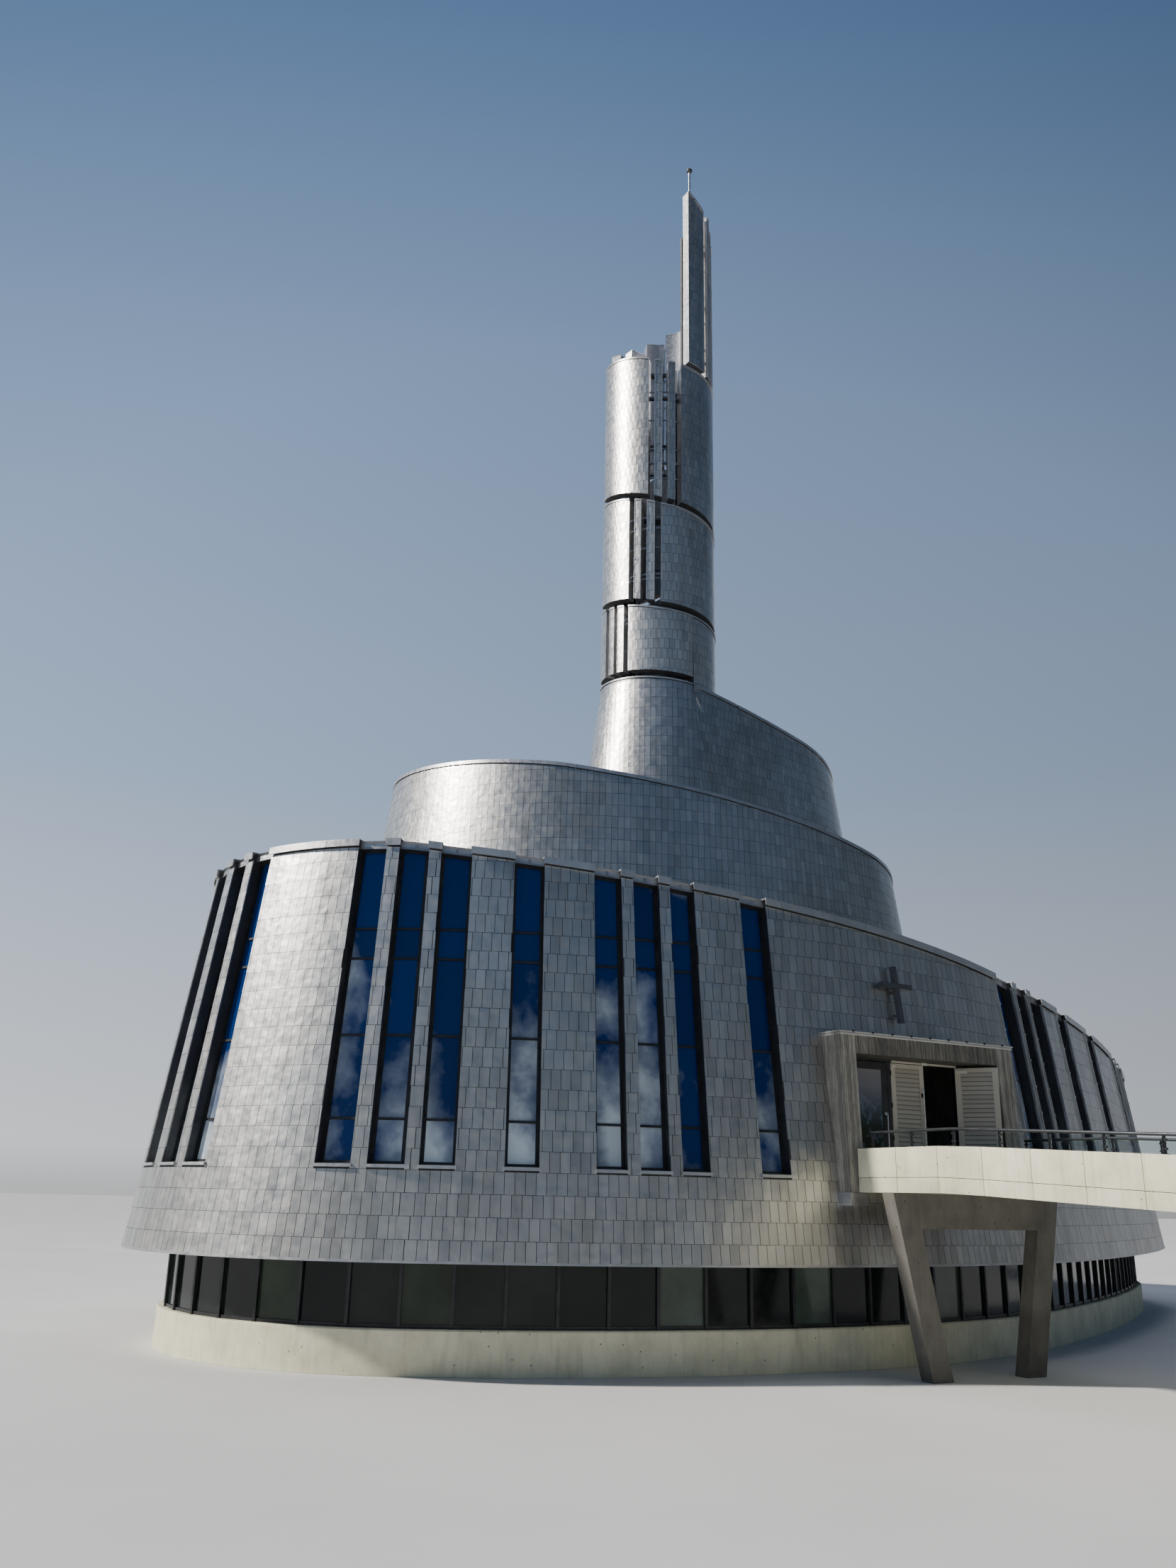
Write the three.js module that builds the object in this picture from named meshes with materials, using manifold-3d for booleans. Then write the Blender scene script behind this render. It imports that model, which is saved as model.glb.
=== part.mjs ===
// Modern church building with one snail-shell wall, modelled at a scale of 1:2.
//
// One continuous wall starts as a tube at the tower's top, winds down round the tower, leaves it as a
// tangent and goes round twice more, wider and lower each time. Its top edge falls all the way, and the
// roof is the ramp between one turn and the next. Seen from above the wall runs counter-clockwise:
// left, front, right, back. The front faces -Y, the tower's axis is the Z axis, and the ground is Z = 0.
//
// All sizes below are those of the real building in metres. A heading is the direction in which the
// wall runs, in degrees: 0 is towards +X at the front, 90 at the right, 180 at the back, 270 at the left.
// It goes on counting from turn to turn, so 360 is the front of the next turn out.

import * as THREE from 'three';
import { mergeVertices } from 'three/addons/utils/BufferGeometryUtils.js';
import Module from 'manifold-3d';

const wasm = await Module();
wasm.setup();

// Scale and clearances
const MODEL_MM = 500; // model millimetres for one metre of the real building: 1:2
const SEAT = 0.0008; // gap between solids that rest on each other, 0.4 mm in the model
const CLEAR = 0.0016; // gap between curved solids, 0.8 mm in the model
const SAGITTA = 0.07; // most that a flat facet may cut into a curved wall
const MAX_STEP_DEG = 15;
const MAX_STEP_M = 3.2;
const ROOM_GAP = 0.0009; // gap between a wall and the roof that meets it, 0.45 mm in the model
const ROOM_BEYOND = 0.25;
const ROOM_LAP = 3; // degrees by which neighbouring rooms for walls overlap

// Plan of the wall's top edge: arcs that follow one another, [radius, heading where the arc ends]
const PLAN = [
  [2.3, 33], // tower
  [37.6, 42], // upper tier, right front
  [6.0, 79], // upper tier, right
  [2.5, 135], // upper tier, right back
  [10.11, 270], // upper tier, back and left
  [7.0, 360], // middle tier, left front
  [15.2, 404], // middle tier, right front
  [5.4, 440], // middle tier, right
  [40.0, 450], // middle tier, right
  [5.0, 515], // middle tier, right back
  [13.04, 625], // middle tier, back, then lower tier, left back
  [143.9, 631], // lower tier, left side
  [6.1, 720], // lower tier, left front
  [19.5, 774], // lower tier, right front
  [84.0, 785], // lower tier, right
  [13.8, 900], // lower tier, right back
  [16.0, 925], // lower tier, back, to the end wall
];
const TOWER_TOP = -1411; // heading at the tip of the spire panel
const TOWER_END = 33; // the wall leaves the tower here
const LOWER_START = 565; // the wall becomes the outer wall of the lower tier
const UPPER_SPLIT = 110; // the right wall of a tier ends and its back wall starts
const MIDDLE_SPLIT = 480;
const PIECE_ENDS = [UPPER_SPLIT, MIDDLE_SPLIT, LOWER_START];
const LOWER_LEFT = 631; // window places are measured from here along the top edge
const WALL_END = 925;

// Height of the wall's top edge: [heading, height]
const TOP_EDGE = [
  [-1411, 45.5], [-1350, 43.6], [-1260, 40.5], [-1170, 37.5], [-1080, 36.5], [-990, 36.2],
  [-900, 33.5], [-810, 30.8], [-720, 29.8], [-630, 29.2], [-540, 27.5], [-450, 25.9],
  [-360, 25.2], [-270, 24.8], [-180, 23.7], [-90, 22.6], [0, 22.3], [33, 22.2],
  [78, 20.7], [279, 18.1], [355, 17.2], [436, 15.1], [631, 10.9], [715, 10.8],
  [770, 9.1], [787, 8.2], [925, 6.8],
];

// Wall, tower and roof
const BATTER = 0.135; // inward lean of the tiers' walls, metres a metre
const BATTER_TOP = 22.2; // the tower is upright above this height
const WALL = 0.42;
const TOWER_WALL = 0.42;
const LEVEL_MARGIN = 0.05; // a change of lean stays this far below the top edge
const TOWER_GAP = 0.28; // dark gap between two turns of the tower
const TOWER_BASE = [TOWER_END - 360, TOWER_END - 0.05];
const NEXT_TURN = 75; // degrees of the tower's base that the wall leaving it runs against
const ROOF_DROP = 0.35; // roof surface below the wall's top edge
const ROOF = 0.25;
const ROOF_SPLITS = [34.8, 393, 700, 796.5, WALL_END]; // the four stretches of roof
const ROOF_JOINT = 0.03; // degrees between two stretches

// Storeys
const LEDGE_TOP = 0.85;
const SKIRT_BOTTOM = 2.1;
const FLOOR_TOP = 3.85;
const FLOOR = 0.25;
const SILL = 3.9;
const BAND_RECESS = 1.05; // the glass band of the ground storey stands this far inside the wall
const PLINTH = 0.45;
const GROUND_SLAB = 0.3;
const BAND_SETBACK = 0.06;
const LEDGE = 0.12; // the plinth's top stands proud of the recess by this much
const BAND_GLASS = 0.05;
const MULLION = [0.08, 0.14]; // width and depth
const MULLION_SPACING = 2.9;
const MULLION_RAIL = 0.12;

// Windows of the lower tier: [start, width] along the top edge, in metres from LOWER_LEFT
const WINDOWS_LEFT = [[2.49, 0.93], [3.82, 0.66], [4.77, 0.71]];
const WINDOWS_FRONT = [
  [7.92, 0.66], [8.87, 0.66], [9.8, 0.68], [11.42, 0.67], [13.2, 0.62], [14.09, 0.6],
  [14.95, 0.59], [16.68, 0.68],
];
const WINDOWS_RIGHT = [
  [25.55, 1.03], [26.82, 0.8], [27.86, 1.18], [30.5, 1.08], [34.17, 1.2], [39.15, 1.04],
  [40.44, 0.95], [41.63, 0.95],
];
const WINDOWS_BACK = [
  [46.0, 1.0], [50.5, 1.0], [51.75, 1.0], [53.0, 1.0], [58.5, 1.0], [62.5, 1.0], [63.75, 1.0],
  [65.0, 1.0], [71.0, 1.0],
];
const WINDOWS_SIDE = [[-20.0, 1.0], [-15.5, 1.0], [-14.25, 1.0], [-13.0, 1.0], [-7.5, 1.0], [-2.6, 0.7]];
const HEAD = 0.7; // head of the windows' openings below the wall's top edge
const SIDE_HEAD = 0.95; // the same on the left side, where the roof hangs lower behind the wall
const HEAD_TOP = 0.17; // top of a window's recess, below the wall's top edge
const HEAD_RECESS = 0.34; // depth of the recess, in front of the panel that closes the opening's upper part
const GLASS = 0.05; // one sheet behind each stretch of windows
const HEAD_LAP = 0.03; // how far the sheet runs up behind the windows' heads
const GLASS_LAP = 0.25; // how far the sheet runs past the outermost windows
const JOINT = 0.004; // gap beside the entrance's glass
const OVERLAP = 0.01; // how far joined solids reach into each other
const TOOL_REACH = 0.1; // how far a cutting solid runs past the faces that it cuts
const WELD_MM = 0.01; // points of one solid closer than this in the model are one point
const SIDE_SPLIT = 575; // the side wall's plain end stops and its stretch with windows starts
const LEFT_END = 698; // the left wall ends and the front wall starts
const PORTAL_WALL = [17.75, 25.15]; // the stretch round the portal, in metres from LOWER_LEFT
const RIGHT_END = 786;

// Slots of the tower, [from, to] in headings, with narrow fins between them
const SLOTS_LOW = [[-427, -420], [-412, -407], [-399, -394]];
const SLOTS_MIDDLE = [[-754, -748], [-741, -735], [-727, -721]];
const SLOTS_HIGH = [[-1094, -1088], [-1080, -1074], [-1066.5, -1060]];
const SPIRE_PANEL = [-1411, -1387, 45.5, 44.95]; // from, to, height of its two ends
const SPIRE_FINS = [[-1380, -1373, 44.9], [-1370, -1365, 44.4], [-1362, -1352, 43.9]];
const CROWN_PANELS = [
  [-1346, -1322, 41.9], [-1320, -1298, 41.4], [-1296, -1272, 40.9], [-1270, -1246, 40.4],
  [-1244, -1222, 39.8], [-1220, -1198, 39.1],
];
const CROWN_START = -1196;
const SPIRE_END = -1352;
const RING_HEIGHTS = [21.2, 23.9, 26.9, 31.2, 34.9];
const CROWN_RING = 38.6; // an arc behind the crown alone
const SPIRE_RING = 43.2; // an arc behind the spire alone
const RING = [0.1, 0.16]; // radial width and height
const POST_TOPS = [SPIRE_RING, CROWN_RING, CROWN_RING, CROWN_RING, RING_HEIGHTS.at(-1), RING_HEIGHTS.at(-1)];
const POST = 0.12;
const SPIRE_TIES = [37.4, 40.2, 43.0];
const CROWN_TIES = [37.0, 38.4];
const FIN_TIES = [[31.6, 35.4], [26.2, 28.7], [23.3, 24.7]]; // top, middle and lower group of slots
const TIE_GAP = 0.02; // degrees between a bar's end and the face that it meets
const TIE = [0.28, 0.12, 0.08]; // bars that tie the fins: depth in the wall, thickness, height
const FINIAL_HEADING = -1405;
const ROD = [0.045, 46.75];
const BALL = 0.13;

// Entrance portal: a concrete frame that stands out of the wall, a row of doors, and the footbridge to it
const PORTAL_CORNER = [3.05, -18.97]; // front left corner at the foot of the frame
const PORTAL_TURN = 28; // the portal looks this many degrees to the right of -Y
const PORTAL_FOOT = 3.6;
const PORTAL_TOP = 6.95;
const PORTAL_LEAN = 0.05; // inward lean of its front, metres a metre
const PORTAL_WIDTH = 5.1;
const PORTAL_DEPTH = [1.6, 2.9]; // left and right
const PORTAL_ROOM = [1, -6]; // the opening for the portal in the wall, from in front to behind
const JAMB_LEFT = 0.4; // width
const JAMB_RIGHT = 0.48;
const HEADER = 0.42;
const DOOR_SETBACK = 0.8;
const DOOR_CENTRE = 2.93;
const LEAF = [0.98, 0.055];
const LEAF_FOOT = 3.88;
const LEAF_TOP = 6.46;
const DOOR_POST = [0.09, 0.12]; // width and depth
const DOOR_HEAD = 0.05;
const DOOR_SILL = 0.05;
const JAMB_JOINT = 0.002; // between the doors' frame and the portal
const LEAF_GAP = 0.014; // 7 mm in the model
const KNUCKLE = [0.0135, 0.11]; // radius and length of a hinge's barrel
const KNUCKLE_HEIGHTS = [4.08, 4.8, 5.52, 6.24];
const LEAF_PROUD = 0.005; // the leaves' outer face stands this far out of the frame
const RIGHT_LEAF_OPEN = 126;
const GLASS_DOOR = [0.17, 0.17, 0.22]; // stiles, top rail and bottom rail
const DOOR_GLASS = 0.04;

// Footbridge
const BRIDGE_LEFT = 0.2; // its left side, right of the portal's corner
const BRIDGE_WIDTH = 4.7;
const BRIDGE_LENGTH = 9.6;
const BRIDGE_FLAT = 2.75; // level up to here, then falling
const BRIDGE_FALL = 0.052;
const DECK_TOP = 3.8;
const DECK = 0.2;
const PARAPET = [0.2, 3.6, 4.49]; // width, foot and top at the portal
const PIER_PLACES = [[0.73, 1.08], [8.9, 9.25]];
const PIER_BEAM = 0.7;
const PIER_LEG = 0.54;
const PIER_LEAN = 0.22;
const RAIL_HEIGHT = 0.35;
const RAIL_RADIUS = 0.03;
const RAIL_INSET = 0.1;
const RAIL_POST = 0.05;
const RAIL_SPACING = 1.2;
const RAIL_START = 0.4;
const RAIL_GLASS = [0.02, 0.02, 0.27]; // thickness, foot and top above the parapet
const RAIL_END = 0.1; // the last post stands at least this far from the bridge's end

// Cross on the wall above the portal
const CROSS_PLACE = 20.8; // along the top edge from LOWER_LEFT
const CROSS_FOOT = 7.4;
const CROSS_HEIGHT = 1.35;
const CROSS_BAR = 0.12;
const CROSS_ARMS = 0.95;
const CROSS_ARM_HEIGHT = 0.88;
const CROSS_STANDOFF = 0.16;
const CROSS_ARM_PROUD = 0.02; // the arms are thicker than the upright by this much on both sides
const CROSS_PIN = 0.06;
const CROSS_PIN_HEIGHTS = [0.15, 0.7];

const COLOURS = {
  titanium: [0xa9abb0, 0.35, 0.9],
  coping: [0x8d9096, 0.4, 0.9],
  concrete: [0xbab3a3, 0.9, 0],
  darkConcrete: [0x5d574d, 0.9, 0],
  glass: [0x1d3352, 0.08, 0],
  frame: [0x14161a, 0.5, 0.4],
  steel: [0x2b3036, 0.45, 0.8],
  roof: [0x777a80, 0.5, 0.7],
  door: [0xa39a8b, 0.6, 0.1],
};

// The wall as a curve

const rad = THREE.MathUtils.degToRad;
const outward = (heading) => [Math.sin(rad(heading)), -Math.cos(rad(heading))];

// Each arc with its centre: two arcs that meet share the normal at their joint
const arcs = [];
{
  let centre = [0, 0];
  let from = TOWER_TOP;
  let start = 0;
  PLAN.forEach(([radius, to], i) => {
    arcs.push({ radius, from, to, centre, start });
    start += rad(to - from) * radius;
    if (i + 1 < PLAN.length) {
      const n = outward(to);
      const step = radius - PLAN[i + 1][0];
      centre = [centre[0] + step * n[0], centre[1] + step * n[1]];
    }
    from = to;
  });
}
const arcAt = (heading) => arcs.find((a) => heading <= a.to) ?? arcs[arcs.length - 1];

// Distance along the top edge, and its inverse
const distanceAt = (heading) => {
  const a = arcAt(heading);
  return a.start + rad(heading - a.from) * a.radius;
};
const headingAt = (distance) => {
  const a = arcs.findLast((b) => b.start <= distance);
  return a.from + THREE.MathUtils.radToDeg((distance - a.start) / a.radius);
};
const windowHeading = (metres) => headingAt(distanceAt(LOWER_LEFT) + metres);

// Height of the top edge at any heading: straight between the knots, measured along the wall
const topKnots = TOP_EDGE.map(([heading, height]) => [distanceAt(heading), height]);
function topOnCurve(heading) {
  const s = distanceAt(heading);
  const i = Math.min(Math.max(topKnots.findIndex((k) => k[0] >= s), 1), topKnots.length - 1);
  const [s0, z0] = topKnots[i - 1];
  const [s1, z1] = topKnots[i];
  return z0 + ((z1 - z0) * (s - s0)) / (s1 - s0);
}

// The wall is built of flat facets between fixed headings: whole multiples of the step on the tower, and
// even steps on each later arc, short enough that no facet cuts deep into the curve
const grid = [TOWER_TOP];
{
  const first = Math.ceil(TOWER_TOP / MAX_STEP_DEG) * MAX_STEP_DEG;
  for (let h = first; h < TOWER_END; h += MAX_STEP_DEG) grid.push(h);
  grid.push(TOWER_END);
  const deg = THREE.MathUtils.radToDeg;
  arcs.slice(1).forEach(({ radius, from, to }) => {
    const step = Math.min(MAX_STEP_DEG, deg(Math.sqrt((8 * SAGITTA) / radius)), deg(MAX_STEP_M / radius));
    const ends = [from, ...PIECE_ENDS.filter((h) => h > from && h < to), to];
    ends.slice(1).forEach((end, i) => {
      const n = Math.ceil((end - ends[i]) / step);
      for (let k = 1; k <= n; k += 1) grid.push(ends[i] + ((end - ends[i]) * k) / n);
    });
  });
}

// The facet at a heading: the headings of its ends, and how far along it the heading lies
function facetAt(heading) {
  const found = grid.findIndex((h) => h >= heading);
  const i = found < 0 ? grid.length - 1 : Math.max(found, 1);
  return [grid[i - 1], grid[i], (heading - grid[i - 1]) / (grid[i] - grid[i - 1])];
}
const mix = (a, b, t) => a + (b - a) * t;

// Height of the built top edge, straight along each facet
function topAt(heading) {
  const [h0, h1, t] = facetAt(heading);
  return mix(topOnCurve(h0), topOnCurve(h1), t);
}
const roofAt = (heading) => topAt(heading) - ROOF_DROP;

// Foot of the wall: above the gap of the tower, at the underside of the roof below, or the skirt's edge
const gapFoot = (heading) => topAt(heading + 360) + TOWER_GAP;
const roofFoot = (heading) => roofAt(heading + 360) - ROOF;

// A point at a height on the wall's leaning outer face, moved inwards by a depth
function curvePoint(heading, height, depth) {
  const a = arcAt(heading);
  const n = outward(heading);
  const reference = heading < TOWER_END ? BATTER_TOP : topOnCurve(heading);
  const r = a.radius + BATTER * Math.max(0, reference - height) - depth;
  return [a.centre[0] + r * n[0], a.centre[1] + r * n[1]];
}
function wallPoint(heading, height, depth = 0) {
  const [h0, h1, t] = facetAt(heading);
  const [p, q] = [curvePoint(h0, height, depth), curvePoint(h1, height, depth)];
  return [mix(p[0], q[0], t), mix(p[1], q[1], t), height];
}

// Headings from one to another with the facets' ends between them
const stations = (from, to) => [from, ...grid.filter((h) => h > from + 0.01 && h < to - 0.01), to];

// Solids

// A closed body through rings of points that all have the same count, capped at both ends or closed
function loft(rings, closed = false) {
  const n = rings[0].length;
  const positions = rings.flat(2).map((v) => v * MODEL_MM);
  const index = [];
  const last = closed ? rings.length : rings.length - 1;
  for (let i = 0; i < last; i += 1) {
    const j = (i + 1) % rings.length;
    for (let k = 0; k < n; k += 1) {
      const m = (k + 1) % n;
      index.push(i * n + k, j * n + k, j * n + m, i * n + k, j * n + m, i * n + m);
    }
  }
  if (!closed) {
    const end = (rings.length - 1) * n;
    for (let k = 1; k + 1 < n; k += 1) {
      index.push(0, k, k + 1);
      index.push(end, end + k + 1, end + k);
    }
  }
  return facingOut(positions, index);
}

// A slab between an inner and an outer line of points, equally thick straight down everywhere
function ramp(inner, outer, thickness) {
  const n = inner.length;
  const top = [...inner, ...outer];
  const underside = top.map(([x, y, z]) => [x, y, z - thickness]);
  const positions = [...top, ...underside].flat().map((v) => v * MODEL_MM);
  const index = [];
  const low = 2 * n;
  const quad = (a, b, c, d) => index.push(a, b, c, a, c, d);
  for (let i = 0; i + 1 < n; i += 1) {
    const [a, b, c, d] = [i, n + i, n + i + 1, i + 1];
    quad(a, b, c, d);
    index.push(low + a, low + c, low + b, low + a, low + d, low + c);
    quad(c, b, low + b, low + c);
    quad(a, d, low + d, low + a);
  }
  quad(n, 0, low, low + n);
  quad(n - 1, 2 * n - 1, low + 2 * n - 1, low + n - 1);
  return facingOut(positions, index);
}

// Turns every triangle over if the body's volume comes out negative
function facingOut(positions, index) {
  let volume = 0;
  const at = (i) => new THREE.Vector3(positions[3 * i], positions[3 * i + 1], positions[3 * i + 2]);
  for (let t = 0; t < index.length; t += 3) {
    volume += at(index[t]).dot(at(index[t + 1]).cross(at(index[t + 2])));
  }
  if (volume < 0) {
    for (let t = 0; t < index.length; t += 3) [index[t], index[t + 1]] = [index[t + 1], index[t]];
  }
  const geometry = new THREE.BufferGeometry();
  geometry.setAttribute('position', new THREE.Float32BufferAttribute(positions, 3));
  geometry.setIndex(index);
  return geometry;
}

// A block between a foot quad and a head quad
const block = (foot, head) => loft([foot, head]);

// A flat plate of any outline, [x, y] points, between two heights
function plate(outline, bottom, top) {
  const shape = new THREE.Shape(outline.map(([x, y]) => new THREE.Vector2(x * MODEL_MM, y * MODEL_MM)));
  const depth = (top - bottom) * MODEL_MM;
  const geometry = new THREE.ExtrudeGeometry(shape, { depth, bevelEnabled: false });
  geometry.translate(0, 0, bottom * MODEL_MM);
  return bare(geometry);
}

function bare(geometry) {
  const g = geometry.clone();
  g.deleteAttribute('normal');
  g.deleteAttribute('uv');
  return mergeVertices(g, WELD_MM);
}

const toManifold = (geometry) => {
  const g = bare(geometry);
  const vertProperties = new Float32Array(g.attributes.position.array);
  const triVerts = new Uint32Array(g.index.array);
  return new wasm.Manifold(new wasm.Mesh({ numProp: 3, vertProperties, triVerts }));
};
const fromManifold = (manifold) => {
  const m = manifold.getMesh();
  const geometry = new THREE.BufferGeometry();
  geometry.setAttribute('position', new THREE.BufferAttribute(new Float32Array(m.vertProperties), 3));
  geometry.setIndex(new THREE.BufferAttribute(new Uint32Array(m.triVerts), 1));
  return geometry;
};
const cutAll = (geometry, tools) =>
  fromManifold(tools.map(toManifold).reduce((rest, tool) => rest.subtract(tool), toManifold(geometry)));
const cut = (geometry, tool) => cutAll(geometry, [tool]);
const join = (list) => fromManifold(list.map(toManifold).reduce((a, b) => a.add(b)));

// A piece of the wall between two headings; heights may be numbers or functions of the heading, and
// levels are heights between foot and top at which the faces may change their lean
function wallPiece(from, to, options = {}) {
  const { depth = 0, thickness = WALL, foot = roofFoot, top = topAt, levels = [], beyond = 0 } = options;
  const value = (v, h) => (typeof v === 'function' ? v(h) : v);
  const extend = (p, q) => p.map((v, i) => v + ((v - q[i]) * beyond) / Math.abs(p[2] - q[2]));
  return loft(
    stations(from, to).map((h) => {
      const [z0, z1] = [value(foot, h), value(top, h)];
      const heights = [z0, ...levels.map((z) => Math.min(z, z1 - LEVEL_MARGIN)), z1];
      const face = (d) => {
        const points = heights.map((z) => wallPoint(h, z, d));
        return [extend(points[0], points[1]), ...points.slice(1, -1), extend(points.at(-1), points.at(-2))];
      };
      return [...face(depth), ...face(depth + value(thickness, h)).reverse()];
    }),
  );
}

// The room that a piece of wall takes up: a gap wider on both sides, and longer along its leaning faces
const wallRoom = (from, to, thickness, options = {}) =>
  wallPiece(from - ROOM_LAP, to + ROOM_LAP, {
    ...options,
    depth: -ROOM_GAP,
    thickness: thickness + ROOM_GAP * 2,
    beyond: ROOM_BEYOND,
  });

// Building up the group

const church = new THREE.Group();
function add(name, colour, solid) {
  const [color, roughness, metalness] = COLOURS[colour];
  const geometry = solid.clone();
  geometry.computeVertexNormals();
  const mesh = new THREE.Mesh(geometry, new THREE.MeshStandardMaterial({ color, roughness, metalness }));
  mesh.name = name;
  church.add(mesh);
}

// Tower

const tower = { thickness: TOWER_WALL, foot: gapFoot };
const towerBase = { levels: [BATTER_TOP] };

// A level bar within the wall's thickness that ties uprights and reaches to the faces beside them
function tieBar(from, to, z) {
  const [depth, thickness, height] = TIE;
  return wallPiece(from + TIE_GAP, to - TIE_GAP, { depth, thickness, foot: z, top: z + height });
}

// The narrow fins between the slots of one group
function slotFins(slots, heights) {
  const fins = slots.slice(1).map((slot, i) => wallPiece(slots[i][1], slot[0], tower));
  const bars = heights.map((z) => tieBar(slots[0][0], slots[2][1], z));
  return join([...fins, ...bars]);
}

const spireTop = (heading) => {
  const [from, to, high, low] = SPIRE_PANEL;
  return high + ((low - high) * (heading - from)) / (to - from);
};

function makeTower() {
  const upright = ([from, to, top]) => wallPiece(from, to, { ...tower, top });
  const [panelFrom, panelTo] = SPIRE_PANEL;
  add('spire_panel', 'titanium', wallPiece(panelFrom, panelTo, { ...tower, top: spireTop }));
  const crownFrom = CROWN_PANELS[0][0];
  const spireTies = SPIRE_TIES.map((z) => tieBar(panelTo, z < CROWN_PANELS[0][2] ? crownFrom : SPIRE_END, z));
  add('spire_fins', 'titanium', join([...SPIRE_FINS.map(upright), ...spireTies]));
  const crownTies = CROWN_TIES.map((z) => tieBar(crownFrom, CROWN_START, z));
  add('tower_crown', 'titanium', join([...CROWN_PANELS.map(upright), ...crownTies]));
  add('tower_band_top', 'titanium', wallPiece(CROWN_START, SLOTS_HIGH[0][0], tower));
  add('tower_fins_top', 'titanium', slotFins(SLOTS_HIGH, FIN_TIES[0]));
  add('tower_band_upper', 'titanium', wallPiece(SLOTS_HIGH[2][1], SLOTS_MIDDLE[0][0], tower));
  add('tower_fins_middle', 'titanium', slotFins(SLOTS_MIDDLE, FIN_TIES[1]));
  add('tower_band_middle', 'titanium', wallPiece(SLOTS_MIDDLE[2][1], SLOTS_LOW[0][0], tower));
  add('tower_fins_lower', 'titanium', slotFins(SLOTS_LOW, FIN_TIES[2]));
  add('tower_band_lower', 'titanium', wallPiece(SLOTS_LOW[2][1], TOWER_BASE[0] - 0.05, tower));
  add('tower_base', 'titanium', wallPiece(...TOWER_BASE, { ...towerBase, thickness: TOWER_WALL }));
}

// The steel frame inside the tower: rings with posts between them, in one welded piece
function makeTowerFrame() {
  const outer = PLAN[0][0] - TOWER_WALL - SEAT;
  const ring = (z, headings, closed) => {
    const corners = [[0, 0], [0, RING[1]], [RING[0], RING[1]], [RING[0], 0]];
    const point = (h, inwards) => wallPoint(h, BATTER_TOP, TOWER_WALL + SEAT + inwards).slice(0, 2);
    return loft(headings.map((h) => corners.map(([inwards, up]) => [...point(h, inwards), z + up])), closed);
  };
  const rings = RING_HEIGHTS.map((z) => ring(z, stations(-360, 0).slice(0, -1), true));
  const spireRing = ring(SPIRE_RING, stations(SPIRE_PANEL[0], SPIRE_END), false);
  const crownRing = ring(CROWN_RING, stations(CROWN_PANELS[0][0], CROWN_START), false);
  const foot = roofAt(360) + SEAT;
  const post = (top, i) => {
    const angle = (i + 0.5) * (360 / POST_TOPS.length);
    const n = outward(angle);
    const r = outer - RING[0] / 2 - POST / 2;
    const signs = [[-1, -1], [1, -1], [1, 1], [-1, 1]];
    const corners = signs.map(([a, b]) => [(a * POST) / 2, r + (b * POST) / 2]);
    const quad = (z) => corners.map(([a, b]) => [n[0] * b - n[1] * a, n[1] * b + n[0] * a, z]);
    return block(quad(foot), quad(top + RING[1]));
  };
  add('tower_steel_frame', 'steel', join([...rings, crownRing, spireRing, ...POST_TOPS.map(post)]));
}

// The rod with its ball, cut off along the sloping top of the spire's panel
function makeFinial() {
  const [rodRadius, rodTop] = ROD;
  const n = outward(FINIAL_HEADING);
  const r = arcAt(FINIAL_HEADING).radius - TOWER_WALL / 2;
  const [x, y] = [n[0] * r, n[1] * r];
  const foot = spireTop(FINIAL_HEADING) - TOOL_REACH;
  const rod = new THREE.CylinderGeometry(rodRadius, rodRadius, rodTop - foot, 8);
  rod.rotateX(Math.PI / 2);
  rod.translate(x, y, (rodTop + foot) / 2);
  rod.scale(MODEL_MM, MODEL_MM, MODEL_MM);
  const ball = new THREE.SphereGeometry(BALL, 10, 8);
  ball.rotateX(Math.PI / 2);
  ball.translate(x, y, rodTop + BALL - OVERLAP);
  ball.scale(MODEL_MM, MODEL_MM, MODEL_MM);
  const [panelFrom, panelTo] = SPIRE_PANEL;
  const seat = wallPiece(panelFrom, panelTo, { ...tower, top: (h) => spireTop(h) + SEAT });
  add('finial', 'steel', cut(join([rod, ball]), seat));
}

// Upper and middle tiers

// Each piece of the two upper tiers' wall, with its ends
const TIER_WALLS = [
  ['upper_wall_right', TOWER_END, UPPER_SPLIT],
  ['upper_wall_back', UPPER_SPLIT + 0.05, 270],
  ['middle_wall_left', 270.03, 360],
  ['middle_wall_front', 360.03, 404],
  ['middle_wall_right', 404.02, MIDDLE_SPLIT],
  ['middle_wall_back', MIDDLE_SPLIT + 0.03, LOWER_START - 0.03],
];
const tierRooms = TIER_WALLS.map(([, from, to]) => ({ from, to, room: wallRoom(from, to, WALL) }));
const lowerRoom = (from, to) => wallRoom(from, to, WALL, { foot: SKIRT_BOTTOM });

function makeTiers() {
  const [first, ...others] = TIER_WALLS;
  // Where the wall leaves the tower, the tower's next turn cuts into it
  const nextTurn = wallRoom(TOWER_BASE[0], TOWER_BASE[0] + NEXT_TURN, TOWER_WALL, towerBase);
  add(first[0], 'titanium', cut(wallPiece(first[1], first[2]), nextTurn));
  others.forEach(([name, from, to]) => add(name, 'titanium', wallPiece(from, to)));
}

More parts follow.
